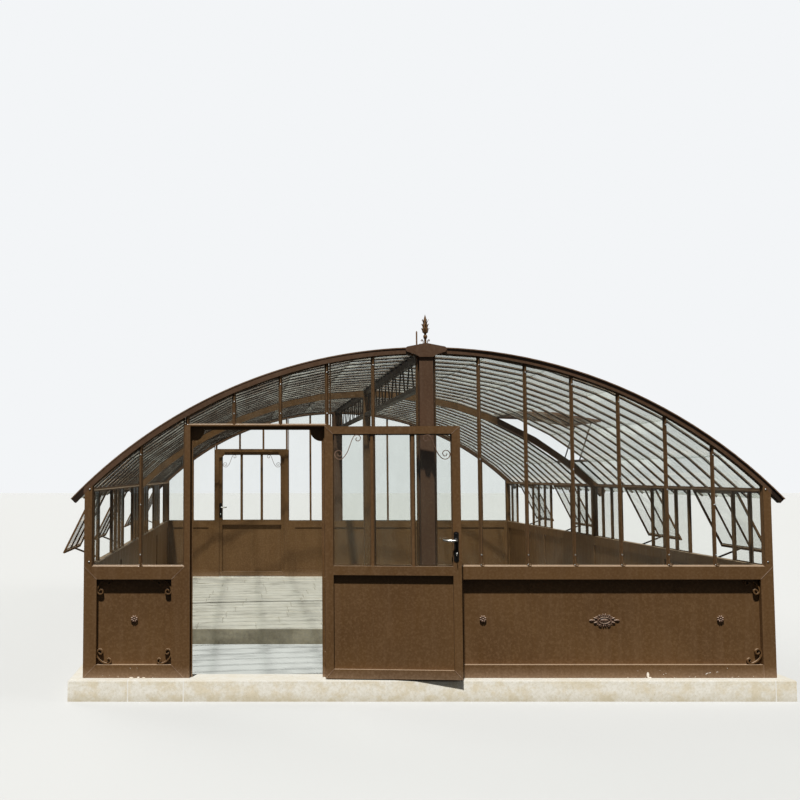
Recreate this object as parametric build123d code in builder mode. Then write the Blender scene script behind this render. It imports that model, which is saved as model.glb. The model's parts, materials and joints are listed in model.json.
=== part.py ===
from build123d import *
from math import asin, atan2, cos, hypot, radians, sin, sqrt
import os

# Glass greenhouse with a curved roof, in millimetres.
# X runs across the house, Y along it with the front gable at -Y, and Z up from the ground.
# Heights named as above the kerb are counted from the top of the concrete kerb.

# Plan and kerb
house_width = 5400
bay_pitch = 300
bays_per_side = 28
bays_per_section = 7
kerb_height = 160
kerb_outside = 100
kerb_inside = 170
kerb_chamfer = 8
floor_below_kerb = 10
floor_start = 2700

# Base walls of steel sections with recessed sheet panels
wall_depth = 60
waist_height = 860
base_section = 100
panel_recess = 45
panel_thickness = 5

# Roof arc: one circle from eave tip to eave tip, set by the heights of its crown and its tips
apex_height = 2590
eave_tip_height = 1390
eave_overhang = 110
arch_depth = 50
rib_depth = 75
rib_width = 60
roof_bar_depth = 22
roof_bar_width = 20
roof_glass_cover = 11
courses = 6
ridge_beam_width = 40
ridge_beam_depth = 75
ridge_cap_width = 90
ridge_cap_thickness = 5
eave_plate_edge = 20
eave_plate_thickness = 12
eave_upstand = 10

# Glazing bars of T section and their glass
bar_flange = 30
bar_flange_thickness = 5
bar_stem = 6
bar_stem_depth = 25
bar_setback = 10
glass_thickness = 4
putty_gap = 3
centre_bay = 420
end_bay = 380
gable_bars_per_half = 6
centre_post_width = 110
centre_post_flange = 160

# Ridge girder and the post under the middle rib
mid_post_width = 80
girder_chord_height = 38
girder_chord_width = 60
girder_depth = 245
girder_lacing = 14
girder_lacing_thickness = 12
girder_lacing_spread = 70
girder_panels = 8

# Doorway in the left half of each gable, from the fifth to the second glazing line
door_outer_line = 4
door_inner_line = 1
jamb_width = 44
stop_width = 20
stop_depth = 15
lintel_thickness = 10
lintel_stop = 28
door_head_below_arch = 68
gusset_radius = 90

# Door leaf
leaf_side_gap = 5
leaf_top_gap = 5
leaf_bottom_gap = 8
leaf_stop_gap = 5
leaf_thickness = wall_depth - stop_depth - leaf_stop_gap
leaf_stile = 64
leaf_top_rail = 60
leaf_lock_rail = 70
leaf_bottom_rail = 70
leaf_lock_top = 870
leaf_panel_recess = 28
leaf_panel_thickness = 4
leaf_bar = 22
leaf_bar_depth = 24
leaf_bar_setback = 8
leaf_lights = 3
leaf_glass_setback = 18
front_door_open = 176
back_door_open = 0
hinge_out = 9
hinge_radius = 7
hinge_leaf_length = 35
hinge_leaf_thickness = 4
knuckle_height = 40
knuckle_gap = 0.5
lowest_hinge = 155
highest_hinge = 132
hinge_shares = (0, 0.345, 0.645, 1)

# Handles
handle_setback = 40
handle_plate_width = 40
handle_plate_height = 234
handle_plate_thickness = 4
handle_plate_corner = 8
lever_height = 1071
lever_above_plate_foot = 165
lever_radius = 8
lever_neck = 45
lever_length = 105
lever_thickness = 12

# Top-hung side windows, propped open
window_first_line = 2
window_bays = 3
window_gap_bays = 3
window_clearance = 4
window_frame = 25
window_thickness = 14
window_bar = 12
window_glass_setback = 5
window_open = 26
window_drop = 2
window_hinge_length = 40
window_hinge_depth = 12
window_hinge_rise = 15
window_hinge_inset = 143
stay_thickness = 5
stay_width = 16
stay_inset = 30
stay_start = 12

# Roof vent on the right slope, propped open
vent_first_course = 3
vent_last_course = 5
vent_half_bays = 2
vent_open = 25
vent_frame = 35
vent_sheet = 2
vent_depth = 22
vent_clearance = 4
vent_hinge_reach = 15
vent_hinge_length = 50
vent_stay_width = 14
vent_stay_setback = 8
vent_stay_thickness = 6

# Ridge ornament on each gable
crest_thickness = 12
crest_half_width = 140
crest_lobe_radius = 23
crest_shoulder_drop = 18
crest_rise = 32
crest_waist_half = 80
crest_waist_drop = 62
crest_foot_half = 54
crest_foot_drop = 80
finial_height = 258
finial_cone_height = 150
finial_cone_radius = 24
finial_ball_radius = 17
finial_stem_radius = 8
finial_inset = 30

# Worked out from the driving dimensions
half_width = house_width / 2
house_length = bay_pitch * bays_per_side
half_length = house_length / 2
waist_top = kerb_height + waist_height
half_span = half_width + eave_overhang
roof_rise = apex_height - eave_tip_height
roof_radius = (half_span**2 + roof_rise**2) / (2 * roof_rise)
arc_centre = kerb_height + apex_height - roof_radius
tip_angle = asin(half_span / roof_radius)
apex_top = kerb_height + apex_height
arch_inner = roof_radius - arch_depth
bar_inner = roof_radius - roof_bar_depth
rib_inner = bar_inner - rib_depth
glass_outer = roof_radius - roof_glass_cover
ridge_half = ridge_beam_width / 2
ridge_underside = apex_top - ridge_beam_depth
flange_depth = bar_setback + bar_stem_depth
glass_depth = flange_depth - glass_thickness
mid_line = bays_per_side // 2
sections = bays_per_side // bays_per_section
inner_face = half_length - wall_depth
corner_edge = half_width - wall_depth
gable_pitch = (corner_edge - centre_bay - end_bay) / (gable_bars_per_half - 1)


def gable_plane(depth, facing):
    """Plane of a gable, depth behind its outer face; facing is -1 in front and 1 behind."""
    return Plane.XZ.offset(-facing * (half_length - depth))


def side_plane(depth, side):
    """Plane of a long wall, depth behind its outer face; side is -1 on the left and 1 on the right."""
    return Plane.YZ.offset(side * (half_width - depth))


def arc_point(radius, angle):
    return (radius * sin(angle), arc_centre + radius * cos(angle))


def arc_height(x, radius):
    return arc_centre + sqrt(radius**2 - x**2)


def slope_line(radius):
    """Corners of one faceted roof slope at this radius, from the ridge beam down to the tip."""
    start = asin(ridge_half / radius)
    turn = (tip_angle - start) / courses
    return [arc_point(radius, start + turn * k) for k in range(courses + 1)]


def line_height(points, x):
    """Height of a faceted slope at x."""
    for (x0, z0), (x1, z1) in zip(points, points[1:]):
        if x0 <= x <= x1:
            return z0 + (z1 - z0) * (x - x0) / (x1 - x0)
    raise ValueError("x lies outside the roof slope")


soffit = slope_line(bar_inner)
eave_underside = line_height(soffit, half_width) - eave_plate_edge


def finish(builder, label):
    """Name the finished piece and write it."""
    builder.part.label = label
    export_step(builder.part, f"parts/{label}.step")
    return builder.part


os.makedirs("parts", exist_ok=True)

# Concrete kerb: the front and back lengths run the full width, the sides fit between them
kerb_width = kerb_outside + kerb_inside
kerb_half_x = half_width + kerb_outside
kerb_half_y = half_length + kerb_outside
floor_half_x = half_width - kerb_inside
floor_half_y = half_length - kerb_inside
for facing, name in ((-1, "front"), (1, "back")):
    with BuildPart() as kerb:
        with BuildSketch(Plane.XY):
            with Locations((0, facing * (kerb_half_y - kerb_width / 2))):
                Rectangle(2 * kerb_half_x, kerb_width)
        extrude(amount=kerb_height)
        top_edges = kerb.faces().sort_by(Axis.Z)[-1].edges()
        outer_edge = top_edges.sort_by(Axis.Y)[0 if facing < 0 else -1]
        end_edges = top_edges.filter_by(Axis.Y)
        chamfer([outer_edge, *end_edges], kerb_chamfer)
    finish(kerb, f"kerb_{name}")
for side, name in ((-1, "left"), (1, "right")):
    with BuildPart() as kerb:
        with BuildSketch(Plane.XY):
            with Locations((side * (kerb_half_x - kerb_width / 2), 0)):
                Rectangle(kerb_width, 2 * floor_half_y)
        extrude(amount=kerb_height)
        top_edges = kerb.faces().sort_by(Axis.Z)[-1].edges()
        chamfer(top_edges.sort_by(Axis.X)[0 if side < 0 else -1], kerb_chamfer)
    finish(kerb, f"kerb_{name}")

# Paved floor in the back part of the house, on its own bed
with BuildPart() as paved_floor:
    floor_front = -half_length + floor_start
    with BuildSketch(Plane.XY):
        with Locations((0, (floor_front + floor_half_y) / 2)):
            Rectangle(2 * floor_half_x, floor_half_y - floor_front)
    extrude(amount=kerb_height - floor_below_kerb)
finish(paved_floor, "paved_floor")

# Door lines of a gable
door_outer_x = -(centre_bay + door_outer_line * gable_pitch)
door_inner_x = -(centre_bay + door_inner_line * gable_pitch)
jamb_left = door_outer_x - jamb_width / 2
jamb_right = door_inner_x + jamb_width / 2
opening_left = door_outer_x + jamb_width / 2
opening_right = door_inner_x - jamb_width / 2
head_z = arc_height(jamb_left, arch_inner) - door_head_below_arch
door_head = head_z - kerb_height


def base_wall(start, stop, pockets, plane_at, inward, label):
    """Box-section frame with a thin sheet recessed between its rails; pockets are its panels."""
    height = waist_height
    with BuildPart() as base:
        with BuildSketch(plane_at(0)):
            with Locations(((start + stop) / 2, kerb_height + height / 2)):
                Rectangle(stop - start, height)
        extrude(amount=inward * wall_depth)
        back_pocket = wall_depth - panel_recess - panel_thickness
        for depth, pocket in ((0, panel_recess), (wall_depth - back_pocket, back_pocket)):
            with BuildSketch(plane_at(depth)):
                for low, high in pockets:
                    with Locations(((low + high) / 2, kerb_height + height / 2)):
                        Rectangle(high - low, height - 2 * base_section)
            extrude(amount=inward * pocket, mode=Mode.SUBTRACT)
    finish(base, label)


# Gable base walls, one each side of the doorway
for facing, name in ((-1, "front"), (1, "back")):
    spans = (("left", -half_width, jamb_left), ("right", jamb_right, half_width))
    for side_name, start, stop in spans:
        base_wall(
            start,
            stop,
            [(start + base_section, stop - base_section)],
            lambda depth, facing=facing: gable_plane(depth, facing),
            facing,
            f"{name}_base_{side_name}",
        )

# Long base walls, with a stile at each section of seven bays
section_length = 2 * half_length / sections
stile_lines = [-half_length + section_length * k for k in range(1, sections)]
for side, name in ((-1, "left"), (1, "right")):
    lows = [-inner_face + base_section] + [y + base_section / 2 for y in stile_lines]
    highs = [y - base_section / 2 for y in stile_lines] + [inner_face - base_section]
    base_wall(
        -inner_face,
        inner_face,
        list(zip(lows, highs)),
        lambda depth, side=side: side_plane(depth, side),
        -side,
        f"side_base_{name}",
    )


def sloped_post(x_low, x_high, radius, bottom):
    """Upright outline whose top follows the chord of the roof circle between its two sides."""
    corners = [
        (x_low, bottom),
        (x_high, bottom),
        (x_high, arc_height(x_high, radius)),
        (x_low, arc_height(x_low, radius)),
    ]
    Polygon(*corners, align=None)


# Corner posts from the base wall up to the gable arches
with BuildPart() as corner_posts:
    for facing in (-1, 1):
        with BuildSketch(gable_plane(0, facing)):
            sloped_post(-half_width, -half_width + wall_depth, arch_inner, waist_top)
            sloped_post(half_width - wall_depth, half_width, arch_inner, waist_top)
        extrude(amount=facing * wall_depth)
finish(corner_posts, "corner_posts")

# Centre post of each gable: a wide cover with a glazing flange on each side
for facing, name in ((-1, "front"), (1, "back")):
    with BuildPart() as centre_post:
        with BuildSketch(gable_plane(0, facing)):
            half_post = centre_post_width / 2
            sloped_post(-half_post, half_post, arch_inner, waist_top)
        extrude(amount=facing * wall_depth)
        with BuildSketch(gable_plane(flange_depth, facing)):
            half_flange = centre_post_flange / 2
            sloped_post(-half_flange, half_flange, arch_inner, waist_top)
        extrude(amount=facing * bar_flange_thickness)
    finish(centre_post, f"{name}_centre_post")

# Post under the middle of the ridge, and the two wall posts that carry the middle rib
with BuildPart() as mid_ridge_post:
    with BuildSketch(Plane.XY.offset(kerb_height - floor_below_kerb)):
        Rectangle(mid_post_width, mid_post_width)
    post_top = arc_height(mid_post_width / 2, rib_inner)
    extrude(amount=post_top - kerb_height + floor_below_kerb)
finish(mid_ridge_post, "mid_ridge_post")
with BuildPart() as side_mid_posts:
    with BuildSketch(Plane.XZ):
        sloped_post(-half_width, -half_width + wall_depth, rib_inner, waist_top)
        sloped_post(half_width - wall_depth, half_width, rib_inner, waist_top)
    extrude(amount=rib_width / 2, both=True)
finish(side_mid_posts, "side_mid_posts")

# Door frames: jambs, lintel, the stop behind the leaf and curved corner gussets
hinge_x = opening_right - leaf_side_gap / 2
leaf_width = opening_right - opening_left - 2 * leaf_side_gap
leaf_height = door_head - leaf_top_gap - leaf_bottom_gap
hinge_run = leaf_height - lowest_hinge - highest_hinge
hinge_heights = [leaf_bottom_gap + lowest_hinge + share * hinge_run for share in hinge_shares]


def hinge_half(along, into):
    """Outline of one half of a hinge: a knuckle on the pin line and its flat leaf against the face."""
    Circle(hinge_radius)
    with Locations((along * hinge_leaf_length / 2, into * (hinge_out - hinge_leaf_thickness / 2))):
        Rectangle(hinge_leaf_length, hinge_leaf_thickness)


def pin_plane(facing, opening):
    """Level plane at the pin line, with its X axis along the leaf when it is open by this angle."""
    turn = radians(-facing * opening)
    return Plane(
        origin=(hinge_x, facing * (half_length + hinge_out), kerb_height),
        x_dir=(-cos(turn), -sin(turn), 0),
        z_dir=(0, 0, 1),
    )


for facing, name in ((-1, "front"), (1, "back")):
    with BuildPart() as door_frame:
        with BuildSketch(gable_plane(0, facing)):
            for x in (door_outer_x, door_inner_x):
                with Locations((x, (kerb_height + head_z) / 2)):
                    Rectangle(jamb_width, door_head)
            with Locations(((jamb_left + jamb_right) / 2, head_z + lintel_thickness / 2)):
                Rectangle(jamb_right - jamb_left, lintel_thickness)
        extrude(amount=facing * wall_depth)
        with BuildSketch(gable_plane(wall_depth - stop_depth, facing)):
            with Locations(((opening_left + opening_right) / 2, kerb_height + door_head / 2)):
                Rectangle(opening_right - opening_left, door_head)
            clear_width = opening_right - opening_left - 2 * stop_width
            clear_height = door_head - lintel_stop
            with Locations(((opening_left + opening_right) / 2, kerb_height + clear_height / 2)):
                Rectangle(clear_width, clear_height, mode=Mode.SUBTRACT)
            for toward, x in ((1, opening_left + stop_width), (-1, opening_right - stop_width)):
                corner_z = kerb_height + clear_height
                with BuildLine():
                    Line((x, corner_z), (x + toward * gusset_radius, corner_z))
                    RadiusArc(
                        (x + toward * gusset_radius, corner_z),
                        (x, corner_z - gusset_radius),
                        toward * gusset_radius,
                    )
                    Line((x, corner_z - gusset_radius), (x, corner_z))
                make_face()
        extrude(amount=facing * stop_depth)
        pins = pin_plane(facing, 0)
        for height in hinge_heights:
            with BuildSketch(pins.offset(height - knuckle_height)):
                hinge_half(-1, facing)
            extrude(amount=knuckle_height)
    finish(door_frame, f"{name}_door_frame")


# Gable arches from tip to tip, and the middle rib, which lies under the roof bars
def arch(outer, inner):
    """Ring segment of the roof circle, cut square across at both tips."""
    with Locations((0, arc_centre)):
        Circle(outer)
        Circle(inner, mode=Mode.SUBTRACT)
    beyond = 2 * outer / cos(tip_angle)
    left_ray, right_ray = arc_point(beyond, -tip_angle), arc_point(beyond, tip_angle)
    Polygon((0, arc_centre), right_ray, left_ray, align=None, mode=Mode.INTERSECT)


for facing, name in ((-1, "front"), (1, "back")):
    with BuildPart() as gable_arch:
        with BuildSketch(gable_plane(0, facing)):
            arch(roof_radius, arch_inner)
        extrude(amount=facing * wall_depth)
    finish(gable_arch, f"{name}_arch")
with BuildPart() as mid_rib:
    with BuildSketch(Plane.XZ):
        left_soffit = [(-x, z) for x, z in reversed(soffit)]
        Polygon((0, arc_centre), *left_soffit, *soffit, align=None)
        with Locations((0, arc_centre)):
            Circle(rib_inner, mode=Mode.SUBTRACT)
    extrude(amount=rib_width / 2, both=True)
finish(mid_rib, "mid_rib")

# Ridge beam between the arches, notched over the middle rib, and the flat cap over all of it
half_beam = inner_face - rib_width / 2
with BuildPart() as ridge_beam:
    with BuildSketch(Plane.XY.offset(ridge_underside)):
        for facing in (-1, 1):
            with Locations((0, facing * (rib_width / 2 + half_beam / 2))):
                Rectangle(ridge_beam_width, half_beam)
    extrude(amount=ridge_beam_depth)
    with BuildSketch(Plane.XY.offset(soffit[0][1])):
        Rectangle(ridge_beam_width, rib_width)
    extrude(amount=apex_top - soffit[0][1])
finish(ridge_beam, "ridge_beam")
with BuildPart() as ridge_cap:
    with BuildSketch(Plane.XY.offset(apex_top)):
        Rectangle(ridge_cap_width, house_length)
    extrude(amount=ridge_cap_thickness)
finish(ridge_cap, "ridge_cap")

# Lattice girder under the ridge: a flat bottom chord and steep lacing that meets the ridge beam
chord_bottom = ridge_underside - girder_depth
chord_top = chord_bottom + girder_chord_height
girder_start = mid_post_width / 2
girder_length = inner_face - girder_start
panel_length = girder_length / girder_panels
for facing, name in ((-1, "front"), (1, "back")):
    with BuildPart() as girder:
        with BuildSketch(Plane.YZ):
            girder_middle = girder_start + girder_length / 2
            with Locations((facing * girder_middle, chord_bottom + girder_chord_height / 2)):
                Rectangle(girder_length, girder_chord_height)
        extrude(amount=girder_chord_width / 2, both=True)
        with BuildSketch(Plane.YZ):
            for k in range(girder_panels):
                low_start = girder_start + panel_length * k
                peak = low_start + panel_length / 2
                low_stop = low_start + panel_length
                for end, inward in ((low_start, 1), (low_stop, -1)):
                    foot = end + inward * girder_lacing_spread
                    head = peak - inward * girder_lacing_spread
                    corners = [
                        (facing * (foot - girder_lacing / 2), chord_top),
                        (facing * (foot + girder_lacing / 2), chord_top),
                        (facing * (head + girder_lacing / 2), ridge_underside),
                        (facing * (head - girder_lacing / 2), ridge_underside),
                    ]
                    Polygon(*corners, align=None)
        extrude(amount=girder_lacing_thickness / 2, both=True)
    finish(girder, f"ridge_girder_{name}")


# Crest plate and finial at each end of the ridge
def crest_outline():
    """Lobed plate over the top of the arch."""
    top = apex_top
    right = [
        (0, top + crest_rise),
        (crest_half_width, top - crest_shoulder_drop + crest_lobe_radius),
        (crest_half_width, top - crest_shoulder_drop - crest_lobe_radius),
        (crest_waist_half, top - crest_waist_drop),
        (crest_foot_half, top - crest_foot_drop),
    ]
    left = [(-x, z) for x, z in reversed(right[1:])]
    Polygon(*right, *left, align=None)
    with Locations(*[(s * crest_half_width, top - crest_shoulder_drop) for s in (-1, 1)]):
        Circle(crest_lobe_radius)


for facing, name in ((-1, "front"), (1, "back")):
    with BuildPart() as crest:
        with BuildSketch(gable_plane(0, facing)):
            crest_outline()
        extrude(amount=-facing * crest_thickness)
    finish(crest, f"{name}_crest")
    with BuildPart() as finial:
        finial_y = facing * (half_length - finial_inset)
        foot = apex_top + ridge_cap_thickness
        tip = foot + finial_height
        cone_base = tip - finial_cone_height
        with BuildSketch(Plane.XZ.offset(-finial_y)):
            with Locations((finial_stem_radius / 2, (foot + cone_base) / 2)):
                Rectangle(finial_stem_radius, cone_base - foot)
            Polygon((0, cone_base), (finial_cone_radius, cone_base), (0, tip), align=None)
            with Locations((0, cone_base - finial_cone_radius)):
                Circle(finial_ball_radius)
            with Locations((-finial_cone_radius, (foot + tip) / 2)):
                Rectangle(2 * finial_cone_radius, finial_height, mode=Mode.SUBTRACT)
        revolve(axis=Axis((0, finial_y, 0), (0, 0, 1)))
    finish(finial, f"{name}_finial")

# Gable glazing bars of T section, from the base wall or the lintel up to the arch
bar_lines = [centre_bay + gable_pitch * k for k in range(gable_bars_per_half)]
door_lines = range(door_inner_line, door_outer_line + 1)
over_lintel = head_z + lintel_thickness


def bar_bottom(x):
    """A bar over the doorway stands on the lintel, and every other one on the base wall."""
    return over_lintel if x in [-bar_lines[k] for k in door_lines] else waist_top


def gable_bar(x, width):
    """Upright strip of a T bar whose top is cut to the chord under the arch."""
    low_x, high_x = x - bar_flange / 2, x + bar_flange / 2
    low_z, high_z = arc_height(low_x, arch_inner), arc_height(high_x, arch_inner)
    rise = (high_z - low_z) / bar_flange
    bottom = bar_bottom(x)
    left, right = x - width / 2, x + width / 2
    left_top, right_top = low_z + rise * (left - low_x), low_z + rise * (right - low_x)
    Polygon((left, bottom), (right, bottom), (right, right_top), (left, left_top), align=None)


gable_bar_lines = [-x for x in reversed(bar_lines)] + bar_lines
for facing, name in ((-1, "front"), (1, "back")):
    with BuildPart() as gable_bars:
        with BuildSketch(gable_plane(flange_depth, facing)):
            for x in gable_bar_lines:
                gable_bar(x, bar_flange)
        extrude(amount=facing * bar_flange_thickness)
        with BuildSketch(gable_plane(bar_setback, facing)):
            for x in gable_bar_lines:
                gable_bar(x, bar_stem)
        extrude(amount=facing * bar_stem_depth)
    finish(gable_bars, f"{name}_glazing_bars")

# Gable panes between the bars, seated on the flanges, with their heads on the roof circle
stem_half = bar_stem / 2
half_centre_post = centre_post_width / 2
edges = [(-corner_edge, 0)]
edges += [(-x, stem_half) for x in reversed(bar_lines)]
edges += [(0, half_centre_post)]
edges += [(x, stem_half) for x in bar_lines]
edges += [(corner_edge, 0)]
for facing, name in ((-1, "front"), (1, "back")):
    with BuildPart() as gable_glass:
        with BuildSketch(gable_plane(glass_depth, facing)):
            for (x0, half0), (x1, half1) in zip(edges, edges[1:]):
                low_x = x0 + half0 + putty_gap
                high_x = x1 - half1 - putty_gap
                over_door = jamb_left < (x0 + x1) / 2 < jamb_right
                if not over_door:
                    low_x = max(low_x, jamb_right + putty_gap) if x0 == door_inner_x else low_x
                    high_x = min(high_x, jamb_left - putty_gap) if x1 == door_outer_x else high_x
                bottom = over_lintel if over_door else waist_top
                with Locations(((low_x + high_x) / 2, (bottom + apex_top) / 2)):
                    Rectangle(high_x - low_x, apex_top - bottom)
            with Locations((0, arc_centre)):
                Circle(arch_inner - putty_gap, mode=Mode.INTERSECT)
        extrude(amount=facing * glass_thickness)
    finish(gable_glass, f"{name}_glass")


# Long walls: bar lines are counted from the front corner
def line_y(line):
    return -half_length + bay_pitch * line


window_second_line = window_first_line + window_bays + window_gap_bays
front_windows = [window_first_line, window_second_line]
window_starts = front_windows + [bays_per_side - window_bays - k for k in reversed(front_windows)]


def in_window(line):
    """True for a bar line inside one of the windows, where the wall has no bar of its own."""
    return any(start < line < start + window_bays for start in window_starts)


def pane_is_window(bay):
    return any(start <= bay < start + window_bays for start in window_starts)


def wall_edge(line):
    """Half width of the upright on a bar line of the long walls."""
    if line in (0, bays_per_side):
        return wall_depth
    return rib_width / 2 if line == mid_line else stem_half


plain_lines = [k for k in range(1, bays_per_side) if k != mid_line and not in_window(k)]
wall_light = eave_underside - waist_top
for side, name in ((-1, "left"), (1, "right")):
    with BuildPart() as side_bars:
        flange_x = side * (half_width - flange_depth - bar_flange_thickness / 2)
        stem_x = side * (half_width - bar_setback - bar_stem_depth / 2)
        with BuildSketch(Plane.XY.offset(waist_top)):
            with Locations(*[(flange_x, line_y(k)) for k in plain_lines]):
                Rectangle(bar_flange_thickness, bar_flange)
            with Locations(*[(stem_x, line_y(k)) for k in plain_lines]):
                Rectangle(bar_stem_depth, bar_stem)
        extrude(amount=wall_light)
    finish(side_bars, f"side_bars_{name}")
    with BuildPart() as side_glass:
        with BuildSketch(side_plane(glass_depth, side)):
            for k in range(bays_per_side):
                if pane_is_window(k):
                    continue
                low_y = line_y(k) + wall_edge(k) + putty_gap
                high_y = line_y(k + 1) - wall_edge(k + 1) - putty_gap
                with Locations(((low_y + high_y) / 2, waist_top + (wall_light - putty_gap) / 2)):
                    Rectangle(high_y - low_y, wall_light - putty_gap)
        extrude(amount=-side * glass_thickness)
    finish(side_glass, f"side_glass_{name}")

# Eave plates in two lengths a side: flat, with an upstand bevelled to the underside of the roof bars
for side, name in ((-1, "left"), (1, "right")):
    with BuildPart() as eave_plate:
        for facing in (-1, 1):
            start = facing * rib_width / 2
            with BuildSketch(Plane.XZ.offset(-start)):
                inner_x, outer_x, upstand_x = half_width - wall_depth, half_width, half_width - eave_upstand
                plate_top = eave_underside + eave_plate_thickness
                corners = [
                    (side * inner_x, eave_underside),
                    (side * outer_x, eave_underside),
                    (side * outer_x, line_height(soffit, outer_x)),
                    (side * upstand_x, line_height(soffit, upstand_x)),
                    (side * upstand_x, plate_top),
                    (side * inner_x, plate_top),
                ]
                Polygon(*corners, align=None)
            extrude(amount=-facing * (inner_face - rib_width / 2))
    finish(eave_plate, f"eave_plate_{name}")

# Top-hung windows, propped open: each three panes wide, two in each half of a long wall
hinge_z = eave_underside - window_drop
window_height = wall_light
window_turn = radians(window_open)
window_width = bay_pitch * window_bays - bar_stem - 2 * window_clearance
light_width = (window_width - 2 * window_frame - (window_bays - 1) * window_bar) / window_bays
light_height = window_height - 2 * window_frame
window_centres = [line_y(start + window_bays / 2) for start in window_starts]


def window_plane(side):
    """Inner face of an open window, with its origin on the hinge line and its Y axis up the sash."""
    return Plane(
        origin=(side * (half_width + window_drop), 0, hinge_z),
        x_dir=(0, side, 0),
        z_dir=(side * cos(window_turn), 0, sin(window_turn)),
    )


def window_light_centres(side):
    pitch = light_width + window_bar
    offsets = [(k - (window_bays - 1) / 2) * pitch for k in range(window_bays)]
    return [(side * y + offset, -window_height / 2) for y in window_centres for offset in offsets]


for side, name in ((-1, "left"), (1, "right")):
    with BuildPart() as windows:
        with BuildSketch(window_plane(side)):
            with Locations(*[(side * y, -window_height / 2) for y in window_centres]):
                Rectangle(window_width, window_height)
            with Locations(*window_light_centres(side)):
                Rectangle(light_width, light_height, mode=Mode.SUBTRACT)
        extrude(amount=window_thickness)
        with BuildSketch(Plane.XY.offset(eave_underside - 2 * window_drop)):
            hinge_x_mid = side * (half_width + window_hinge_depth / 2)
            spread = window_width / 2 - window_hinge_inset
            with Locations(*[(hinge_x_mid, y + end * spread) for y in window_centres for end in (-1, 1)]):
                Rectangle(window_hinge_depth, window_hinge_length)
        extrude(amount=window_hinge_rise + 2 * window_drop)
    finish(windows, f"side_windows_{name}")
    with BuildPart() as window_glass:
        with BuildSketch(window_plane(side).offset(window_glass_setback)):
            with Locations(*window_light_centres(side)):
                Rectangle(light_width, light_height)
        extrude(amount=glass_thickness)
    finish(window_glass, f"window_glass_{name}")


def window_point(side, reach):
    """Point on the inner face of an open window, this far down from its hinge line."""
    x = side * (half_width + window_drop + reach * sin(window_turn))
    return (x, hinge_z - reach * cos(window_turn))


# Window stays: flat bars from the base wall to the foot of each window
for side, name in ((-1, "left"), (1, "right")):
    with BuildPart() as stays:
        for y in window_centres:
            with BuildSketch(Plane.XZ.offset(-y)):
                start_z = waist_top - stay_start
                corners = [
                    (side * half_width, start_z - stay_width),
                    (side * half_width, start_z),
                    window_point(side, window_height - stay_inset),
                    window_point(side, window_height - stay_inset + stay_width),
                ]
                Polygon(*corners, align=None)
            extrude(amount=stay_thickness / 2, both=True)
    finish(stays, f"window_stays_{name}")


# Roof bars: each runs from the ridge beam to the eave tip, faceted at the laps of the panes
def bar_profile(side, first, last):
    """Outline of a roof bar between two course lines, on the slope of this side."""
    outer = slope_line(roof_radius)[first : last + 1]
    inner = soffit[first : last + 1]
    Polygon(*[(side * x, z) for x, z in outer + inner[::-1]], align=None)


def vent_bay(line, side):
    """True for a roof bar that the vent interrupts."""
    return side > 0 and abs(line - mid_line) < vent_half_bays


def roof_edge(line):
    """Half width of the upright on a bar line of the roof."""
    return wall_depth if line in (0, bays_per_side) else roof_bar_width / 2


roof_lines = range(1, bays_per_side)
for side, name in ((-1, "left"), (1, "right")):
    whole = [(0, line_y(k), 0) for k in roof_lines if not vent_bay(k, side)]
    cut = [(0, line_y(k), 0) for k in roof_lines if vent_bay(k, side)]
    with BuildPart() as one_bar:
        with BuildSketch(Plane.XZ):
            bar_profile(side, 0, courses)
        extrude(amount=roof_bar_width / 2, both=True)
    with BuildPart() as roof_bars:
        with Locations(*whole):
            add(one_bar.part)
        for first, last in ((0, vent_first_course), (vent_last_course, courses)):
            for place in cut:
                with BuildSketch(Plane.XZ.offset(-place[1])):
                    bar_profile(side, first, last)
                extrude(amount=roof_bar_width / 2, both=True)
    finish(roof_bars, f"roof_bars_{name}")

# Roof panes: flat, one to each course of each bay
pane_line = slope_line(glass_outer - glass_thickness)


def course_plane(side, course):
    """Inner face of one course of panes, with its X axis along the house and its Z axis outward."""
    (x0, z0), (x1, z1) = pane_line[course], pane_line[course + 1]
    fall = atan2(z0 - z1, x1 - x0)
    return Plane(
        origin=(side * (x0 + x1) / 2, 0, (z0 + z1) / 2),
        x_dir=(0, 1, 0),
        z_dir=(side * sin(fall), 0, cos(fall)),
    )


def in_vent(side, course, bay):
    along = mid_line - vent_half_bays <= bay < mid_line + vent_half_bays
    return side > 0 and along and vent_first_course <= course < vent_last_course


for side, name in ((-1, "left"), (1, "right")):
    with BuildPart() as roof_glass:
        for course in range(courses):
            (x0, z0), (x1, z1) = pane_line[course], pane_line[course + 1]
            pane_length = hypot(x1 - x0, z1 - z0) - putty_gap
            with BuildSketch(course_plane(side, course)):
                for bay in range(bays_per_side):
                    if in_vent(side, course, bay):
                        continue
                    low_y = line_y(bay) + roof_edge(bay)
                    high_y = line_y(bay + 1) - roof_edge(bay + 1)
                    with Locations(((low_y + high_y) / 2, 0)):
                        Rectangle(high_y - low_y, pane_length)
            extrude(amount=glass_thickness)
    finish(roof_glass, f"roof_glass_{name}")

# Roof vent curb: a trimmer above and below the opening, from side bar to side bar over the middle rib
outer_line = slope_line(roof_radius)
vent_side_y = vent_half_bays * bay_pitch - roof_bar_width / 2


def trimmer_profile(course, toward):
    """Bar across the slope on a course line, lying on this side of it."""
    outer, inner = outer_line[course], soffit[course]
    next_outer, next_inner = outer_line[course + toward], soffit[course + toward]
    share = roof_bar_width / hypot(next_outer[0] - outer[0], next_outer[1] - outer[1])
    far_outer = tuple(a + (b - a) * share for a, b in zip(outer, next_outer))
    far_inner = tuple(a + (b - a) * share for a, b in zip(inner, next_inner))
    Polygon(outer, far_outer, far_inner, inner, align=None)


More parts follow.
